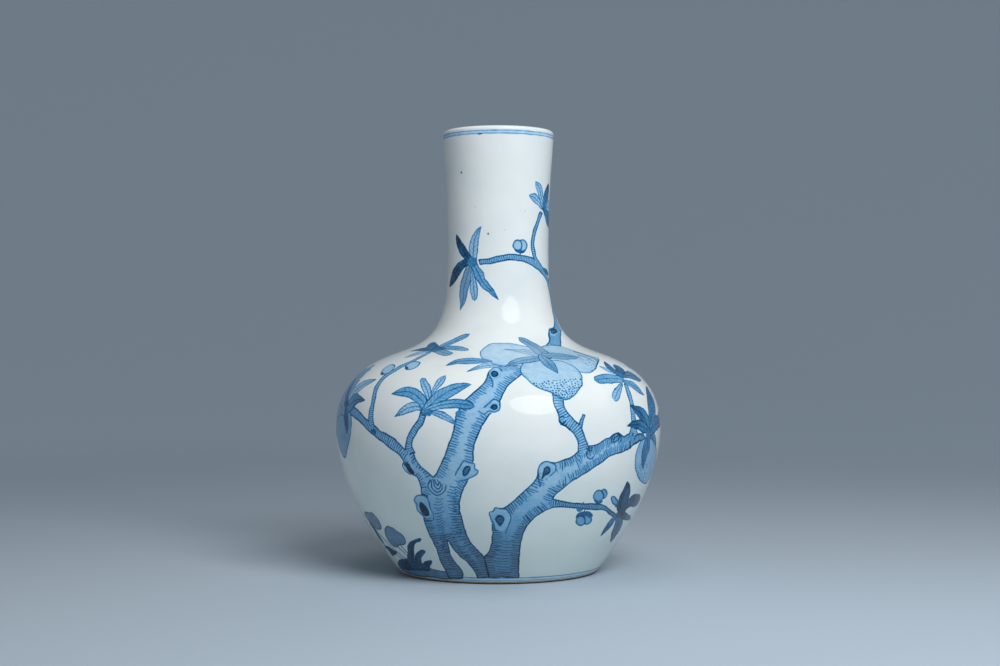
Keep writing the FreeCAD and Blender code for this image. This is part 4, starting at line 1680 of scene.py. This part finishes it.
@dataclass
class GlazeSkin:
    """The outer glaze as one closed skin, fine where it is painted and plain elsewhere.

    Its face lies on the turned line, goes over the lip and comes back down under the
    glaze, next to the clay. A corner of a face is numbered by its row and its column,
    where the last row and the last column are the first ones again.
    """

    canvas: Canvas
    block: int
    slim_radius_mm: float = 69.0
    slim_columns: int = 3
    glaze_mm: float = 0.6
    clearance_mm: float = 0.05
    lip_radius_mm: float = 2.6
    lip_end_degrees: float = 174.0
    lip_rows: int = 16
    hidden_rows: int = 60
    hidden_share: float = 0.06
    least_paint: float = 0.004

    def build(self, finish: bpy.types.Material) -> bpy.types.Object:
        """Makes the skin.

        Args:
            finish: The painted glaze.

        Returns:
            The object, which rides with the vase and stands for its outer glaze.
        """
        line, slopes, shares = self._section()
        rows, count = len(line), self.canvas.columns
        faces = self._blocks() + self._strips(rows)
        sizes = np.concatenate([np.full(len(group), group.shape[1]) for group in faces])
        corners = np.concatenate([group.ravel() for group in faces])
        row, column = np.divmod(corners, count + 1)
        used, compact = np.unique(row % rows * count + column % count, return_inverse=True)
        angles = used % count * self.canvas.step
        outward = np.c_[np.sin(angles), -np.cos(angles)]
        where = used // count
        spots = np.c_[outward * line[where, :1], line[where, 1:]] * MM
        mesh = self._mesh(spots, compact, sizes)
        chart = mesh.uv_layers.new(name="OFBake")
        chart.data.foreach_set("uv", np.c_[column / count, shares[row]].astype(np.float32).ravel())
        for name in PIGMENTS:
            layer = getattr(self.canvas, name)
            load = np.zeros(len(used), np.float32)
            outer = where < len(layer)
            load[outer] = layer[where[outer], used[outer] % count]
            mesh.attributes.new(name, "FLOAT", "POINT").data.foreach_set("value", load)
        mesh.normals_split_custom_set_from_vertices(np.c_[outward * slopes[where, :1], slopes[where, 1:]])
        mesh.materials.append(finish)
        skin = add_object("painted_glaze_skin", mesh)
        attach(skin, "root")
        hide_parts("outer_glaze")
        return skin

    def _section(self) -> tuple[np.ndarray, np.ndarray, np.ndarray]:
        """Goes up the outside, over the lip and down the hidden side.

        Returns:
            Radius and height of each row, its normal's parts, and its share of the
            chart's height with one more at the end.
        """
        canvas = self.canvas
        outer = np.c_[canvas.radii, canvas.heights]
        middle = outer[-1] - (self.lip_radius_mm, 0.0)
        turns = np.radians(self.lip_end_degrees) * np.arange(1, self.lip_rows + 1) / self.lip_rows
        over = middle + self.lip_radius_mm * np.c_[np.cos(turns), np.sin(turns)]
        face = np.vstack([outer, over])
        normals = sideways(face)
        depth = self.glaze_mm - self.clearance_mm
        under_lip = over[::-4] - normals[len(outer):][::-4] * depth
        picks = np.linspace(len(outer) - 1, 0, self.hidden_rows).astype(int)
        under = np.vstack([under_lip, outer[picks] - normals[picks] * depth])
        travel = run_lengths(face)
        shares = travel / travel[-1] * (1.0 - self.hidden_share)
        rest = 1.0 - self.hidden_share + self.hidden_share * np.arange(1, len(under) + 2) / (len(under) + 1)
        return np.vstack([face, under]), np.vstack([normals, sideways(under)]), np.r_[shares, rest]

    def _steps(self) -> np.ndarray:
        """Columns that one face takes, for each block of the outside.

        Returns:
            The block's width where it is plain, and less where it is painted.
        """
        canvas, block = self.canvas, self.block
        mark = (canvas.cobalt > self.least_paint) | (canvas.iron > self.least_paint)
        wide = mark | np.roll(mark, 1, 1) | np.roll(mark, -1, 1)
        wide[1:] |= wide[:-1].copy()
        wide[:-1] |= wide[1:].copy()
        rows = len(mark) // block
        painted = wide[:rows * block].reshape(rows, block, -1, block).any(axis=(1, 3))
        painted[0] = painted[-1] = True
        slim = canvas.radii[block // 2::block][:rows] < self.slim_radius_mm
        fine = np.where(slim, self.slim_columns, 1)[:, None]
        return np.where(painted, fine, block)

    def _cells(self, rows: np.ndarray, columns: np.ndarray, step: int) -> np.ndarray:
        """Faces one row high.

        Args:
            rows: The rows that they stand on.
            columns: The columns that they start from.
            step: How many columns each one takes.

        Returns:
            The four corners of each face.
        """
        width = self.canvas.columns + 1
        start = (rows[:, None] * width + columns).ravel()
        return np.c_[start, start + step, start + step + width, start + width]

    def _blocks(self) -> list[np.ndarray]:
        """Faces of the outside.

        Returns:
            Arrays of faces with the same number of corners in each.
        """
        block, width = self.block, self.canvas.columns + 1
        steps = self._steps()
        below = np.vstack([steps[:1], np.minimum(steps[1:], steps[:-1])])
        above = np.vstack([below[1:], np.minimum(steps[-1:], self.slim_columns)])
        left = np.minimum(steps, np.roll(steps, 1, 1)) < block
        right = np.roll(left, -1, 1)
        many = {step: self._cells(np.arange(block), np.arange(0, block, step), step)
                for step in (1, self.slim_columns)}
        faces = []
        for i, j in np.ndindex(steps.shape):
            start, step = i * block * width + j * block, steps[i, j]
            if step == block:
                bottom = np.arange(0, block, below[i, j])
                rise = np.arange(0, block, 1 if right[i, j] else block) * width + block
                top = np.arange(block, 0, -above[i, j]) + block * width
                fall = np.arange(block, 0, -1 if left[i, j] else -block) * width
                faces.append(start + np.concatenate([bottom, rise, top, fall])[None])
            elif below[i, j] < step:
                cells = many[step]
                faces.append(start + cells[block // step:])
                between = np.arange(step + 1)
                for cell in cells[:block // step]:
                    faces.append((start + np.r_[cell[0] + between, cell[2:]])[None])
            else:
                faces.append(start + many[step])
        return faces

    def _strips(self, rows: int) -> list[np.ndarray]:
        """Faces of the lip, of the hidden side and of the glaze's lower edge.

        Args:
            rows: Number of rows in the whole section.

        Returns:
            Arrays of faces with the same number of corners in each.
        """
        width, block, slim = self.canvas.columns + 1, self.block, self.slim_columns
        top = len(self.canvas.row_arcs) - 1
        lip_end = top + self.lip_rows
        faces = [self._cells(np.arange(top, lip_end), np.arange(0, width - 1, slim), slim)]
        wide = np.arange(0, width - 1, block)
        below = lip_end * width + wide[:, None] + np.arange(0, block + 1, slim)
        faces.append(np.c_[below, (lip_end + 1) * width + wide + block, (lip_end + 1) * width + wide])
        faces.append(self._cells(np.arange(lip_end + 1, rows - 1), wide, block))
        last = (rows - 1) * width + wide
        first = rows * width + wide[:, None] + np.arange(block, -1, -1)
        return faces + [np.c_[last, last + block, first]]

    @staticmethod
    def _mesh(spots: np.ndarray, corners: np.ndarray, sizes: np.ndarray) -> bpy.types.Mesh:
        """Makes a smooth mesh from arrays.

        Args:
            spots: The vertices, in metres.
            corners: The vertex of each face's corner, face after face.
            sizes: Number of corners of each face.

        Returns:
            The mesh.
        """
        mesh = bpy.data.meshes.new("painted_glaze_skin")
        mesh.vertices.add(len(spots))
        mesh.vertices.foreach_set("co", spots.astype(np.float32).ravel())
        mesh.loops.add(len(corners))
        mesh.loops.foreach_set("vertex_index", corners.astype(np.int32))
        mesh.polygons.add(len(sizes))
        starts = np.r_[0, np.cumsum(sizes)[:-1]].astype(np.int32)
        mesh.polygons.foreach_set("loop_start", starts)
        mesh.update(calc_edges=True)
        mesh.polygons.foreach_set("use_smooth", np.ones(len(sizes), bool))
        return mesh


@dataclass
class FruitingTreePainting:
    """The painting: rings of the wheel, two gnarled trees, sprays, fruits and buds."""

    canvas: Canvas
    photo: PhotoSheet

    def paint(self) -> None:
        """Paints the whole vase, from the washes that lie lowest to the last specks."""
        front = Painter(self.canvas, self.photo)
        for ring in RINGS:
            front.ring(*ring)
        self.back()
        self.trees(front)
        self.growth(front)
        for point, size, strength in IRON_SPECKS:
            front.dab(point, size, strength, "iron")

    def back(self) -> None:
        """Paints the branches that go on round the back, and what grows on them."""
        profile = self.photo.profile
        wall = Painter(self.canvas, WrappedSheet(profile, (0.0, 0.0), *BACK_PLACE))
        for tree in (BACK_RIGHT_TREE, BACK_LEFT_TREE):
            wall.tree(tree)
        Painter(self.canvas, WrappedSheet(profile, (0.0, 0.0), *NECK_TWIG_PLACE)).tree(NECK_BACK_TWIG)
        for knot in BACK_KNOTS:
            wall.knot(knot)
        for motif, *place in BACK:
            Painter(self.canvas, WrappedSheet(profile, motif.root, *place)).motif(motif)
        for leaf in EDGE_LEAVES:
            wall.leaf(leaf)

    def trees(self, front: Painter) -> None:
        """Paints the grass, then trunks and branches with their folds and knots.

        Args:
            front: Paints where the photograph shows it.
        """
        front.motif(GRASS)
        for tree in (LEFT_TREE, RIGHT_TREE, NECK_TREE):
            front.tree(tree)
        for top_left, low_left, top_right, low_right, count in TRUNK_RUNGS:
            front.rungs((top_left, low_left), (top_right, low_right), count)
        front.blot(FORK, Tone.TRUNK.wash)
        for fold in FOLDS:
            front.stroke(fold, front.brush.fold_mm, Tone.DEEP.line)
        for knot in KNOTS:
            front.knot(knot)

    def growth(self, front: Painter) -> None:
        """Paints fruits, leaf sprays and buds over the branches, and the last dark touches.

        Args:
            front: Paints where the photograph shows it.
        """
        front.motif(Motif((0, 0), [leaf for spray in SPRAYS for leaf in spray], FRUITS, BUDS))
        for tone, blots in ((Tone.DEEP, CORE_BLOTS), (Tone.INK, INK_BLOTS), (Tone.NIGHT, LOW_RIGHT_BLOTS)):
            for blot in blots:
                front.blot(blot, tone.wash)
        for width, line in INK_LINES:
            front.stroke(line, width, Tone.NIGHT.line)
        for dab in INK_DABS:
            front.dab(dab, front.brush.dab_mm, Tone.INK.line)


@dataclass
class ThrownVase:
    """The vase: clay and inner glazes as packed, and the painted outside as a new skin."""

    camera: PhotoCamera
    columns: int
    row_step_mm: float
    block: int = 12

    def build(self) -> None:
        """Paints the outside and finishes every piece."""
        profile = TurnedProfile(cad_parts["outer_glaze"])
        log.info("outer line read: %.1f mm long", profile.length)
        canvas = Canvas(profile, self.columns, self.row_step_mm, self.block)
        FruitingTreePainting(canvas, PhotoSheet(self.camera, profile)).paint()
        log.info("painting laid on %d by %d spots", *canvas.cobalt.shape)
        skin = GlazeSkin(canvas, self.block).build(UnderglazeBlue().build())
        log.info("painted skin: %d faces", len(skin.data.polygons))
        self.finish_clay()

    def finish_clay(self) -> None:
        """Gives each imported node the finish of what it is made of."""
        # The foot ring's bottom edge gets a dark painted contact shadow.
        bare = MattClay("porcelain_clay_turned_unglazed", "C9B9A2", "B29E84", Grain.CLAY_GRIT, painted_contact_shadow="3A3028")
        body = MattClay("porcelain_clay_thrown", "E3DDD2", "D8D0C3", Grain.CLAY_GRIT, 0.85, 0.03)
        slip = MattClay("porcelain_slip_brushed", "DED6C8", "D0C6B5", Grain.SLIP_STREAK, 0.9, 0.08)
        clear = GlazedPorcelain()
        finishes = {
            bare: ("foot_ring",), body: ("base_disc", "lower_belly", "upper_belly", "neck"),
            slip: ("belly_slip_seam", "neck_slip_seam"), clear: ("inner_glaze", "base_glaze"),
        }
        for finish, nodes in finishes.items():
            material = finish.build()
            for node in nodes:
                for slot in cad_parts[node].material_slots:
                    slot.material = material
                log.info("%s: %s", node, finish.name)


@dataclass(frozen=True)
class Softbox:
    """A soft lamp that faces the vase's middle, by its direction and distance from there.

    An oval one is mirrored in the glaze. A rectangular one only lights it.
    """

    name: str
    way: tuple[float, float, float]
    distance: float
    width: float
    height: float
    power: float
    oval: bool = False
    spread: float = math.pi

    def build(self, middle_height: float) -> bpy.types.Object:
        """Hangs the lamp.

        Args:
            middle_height: Height of the vase's middle in metres.

        Returns:
            The lamp.
        """
        data = bpy.data.lights.new(self.name, "AREA")
        data.shape = "ELLIPSE" if self.oval else "RECTANGLE"
        data.size, data.size_y, data.energy, data.spread = self.width, self.height, self.power, self.spread
        lamp = add_object(self.name, data)
        reach = np.array(self.way) / np.linalg.norm(self.way)
        lamp.location = reach * self.distance + (0.0, 0.0, middle_height)
        tilt = math.pi / 2 - math.asin(reach[2])
        lamp.rotation_euler = (tilt, 0.0, math.atan2(reach[0], -reach[1]))
        lamp.visible_camera = False
        lamp.visible_glossy = self.oval
        return lamp


@dataclass
class Studio:
    """A pale paper bowl round the vase, under a soft key lamp and large weaker ones."""

    floor: str = "AEBDCA"
    # Colour of the painted glow far from the vase.
    painted_glow: str = "5F6B75"
    wall: str = "7C8794"
    flat_radius: float = 1.4
    bend_radius: float = 1.2
    wall_top: float = 3.2
    first_ring: float = 0.05
    flat_rings: int = 7
    bend_rings: int = 24
    sides: int = 128
    pale_radius: float = 0.25
    dark_radius: float = 1.7
    middle_height: float = 0.16
    sky: str = "C6CED6"
    sky_strength: float = 0.03
    lamps: tuple[Softbox, ...] = (
        Softbox("key_softbox", (0.38, -0.71, 0.59), 1.5, 0.85, 0.85, 5.0, True),
        Softbox("key_panel", (0.38, -0.71, 0.59), 1.5, 0.85, 0.85, 15.4),
        Softbox("high_panel", (0.25, -0.55, 0.80), 1.6, 1.3, 1.3, 3.0),
        Softbox("overhead_panel", (0.0, -0.05, 1.0), 1.5, 0.9, 0.9, 4.0),
        Softbox("left_panel", (-0.94, -0.22, 0.20), 1.9, 1.2, 0.8, 2.5, spread=2.2),
        Softbox("back_panel", (0.30, 0.80, 0.52), 1.9, 1.2, 1.2, 1.3, spread=2.0),
    )

    def build(self) -> None:
        """Makes the bowl, the lamps and the sky."""
        self.bowl()
        for lamp in self.lamps:
            lamp.build(self.middle_height)
            log.info("lamp hung: %s", lamp.name)
        world = bpy.data.worlds.new("studio_sky")
        world.use_nodes = True
        bpy.context.scene.world = world
        background = world.node_tree.nodes["Background"]
        background.inputs["Color"].default_value = linear(self.sky)
        background.inputs["Strength"].default_value = self.sky_strength

    def bowl(self) -> bpy.types.Object:
        """Makes the floor that bends up into a wall all round.

        Returns:
            The bowl, which is staging.
        """
        turns = np.linspace(0.0, math.pi / 2, self.bend_rings)
        flat = np.linspace(self.first_ring, self.flat_radius, self.flat_rings + 1)[:-1]
        out = np.r_[flat, self.flat_radius + self.bend_radius * np.sin(turns)]
        up = np.r_[np.zeros(self.flat_rings), self.bend_radius * (1.0 - np.cos(turns))]
        out, up = np.r_[out, out[-1]], np.r_[up, self.wall_top]
        count = self.sides
        angles = np.arange(count) * FULL_TURN / count
        spots = [(0.0, 0.0, 0.0)]
        spots += [(r * math.cos(t), r * math.sin(t), z) for r, z in zip(out, up) for t in angles]
        faces = [(0, 1 + i, 1 + (i + 1) % count) for i in range(count)]
        for low in range(1, 1 + (len(out) - 1) * count, count):
            faces += [(low + i, low + count + i, low + count + (i + 1) % count, low + (i + 1) % count)
                      for i in range(count)]
        mesh = bpy.data.meshes.new("paper_bowl")
        mesh.from_pydata(spots, [], faces)
        mesh.polygons.foreach_set("use_smooth", [True] * len(faces))
        mesh.materials.append(self.paper())
        bowl = add_object("paper_bowl", mesh)
        return bowl

    def paper(self) -> bpy.types.Material:
        """Makes the background paper: painted light and shade make it paler under the vase and darker far from it, and
        far off it has a painted glow that camera, glossy and transmission rays see.

        Returns:
            The material.
        """
        material, tree = new_material("background_paper_painted_glow_and_shade")
        place = add_node(tree, "TexCoord").outputs["Object"]
        reach = add_node(tree, "VectorMath", {0: place}, operation="LENGTH")
        rise = add_node(tree, "MapRange", {
            "Value": reach, "From Min": self.pale_radius, "From Max": self.dark_radius},
            interpolation_type="SMOOTHSTEP")
        # Painted light and shade: the paper runs from the pale floor colour near the vase to the darker wall colour far
        # off.
        colour = add_node(tree, "ValToRGB", {"Fac": rise})
        fill_ramp(colour, [(0.0, self.floor), (1.0, self.wall)])
        shader = add_node(tree, "BsdfPrincipled", {
            "Base Color": colour, "Roughness": 0.85, "Specular IOR Level": 0.2})
        # Painted glow: far from the vase the paper emits light seen by camera, glossy and transmission rays, though it
        # is no lamp.
        rays = add_node(tree, "LightPath").outputs
        seen = rays["Is Camera Ray"]
        for ray in ("Is Glossy Ray", "Is Transmission Ray"):
            seen = add_node(tree, "Math", {0: seen, 1: rays[ray]}, operation="MAXIMUM")
        strength = add_node(tree, "Math", {0: seen, 1: rise}, operation="MULTIPLY")
        painted_glow_shader = add_node(tree, "Emission", {"Color": linear(self.painted_glow), "Strength": strength})
        add_node(tree, "OutputMaterial", {"Surface": add_node(tree, "AddShader", {0: shader, 1: painted_glow_shader})})
        return material


def main() -> None:
    """Builds the camera, the vase and the studio in order."""
    logging.basicConfig(level=logging.INFO, format="%(name)s: %(message)s")
    bpy.context.scene.view_settings.view_transform = "Standard"
    camera = PhotoCamera()
    camera.build()
    log.info("camera set at %.3f m", camera.distance_mm * MM)
    columns, row_step_mm = ((1536, 0.5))
    ThrownVase(camera, columns, row_step_mm).build()
    Studio().build()
    log.info("studio lit")


if __name__ == "__main__":
    main()
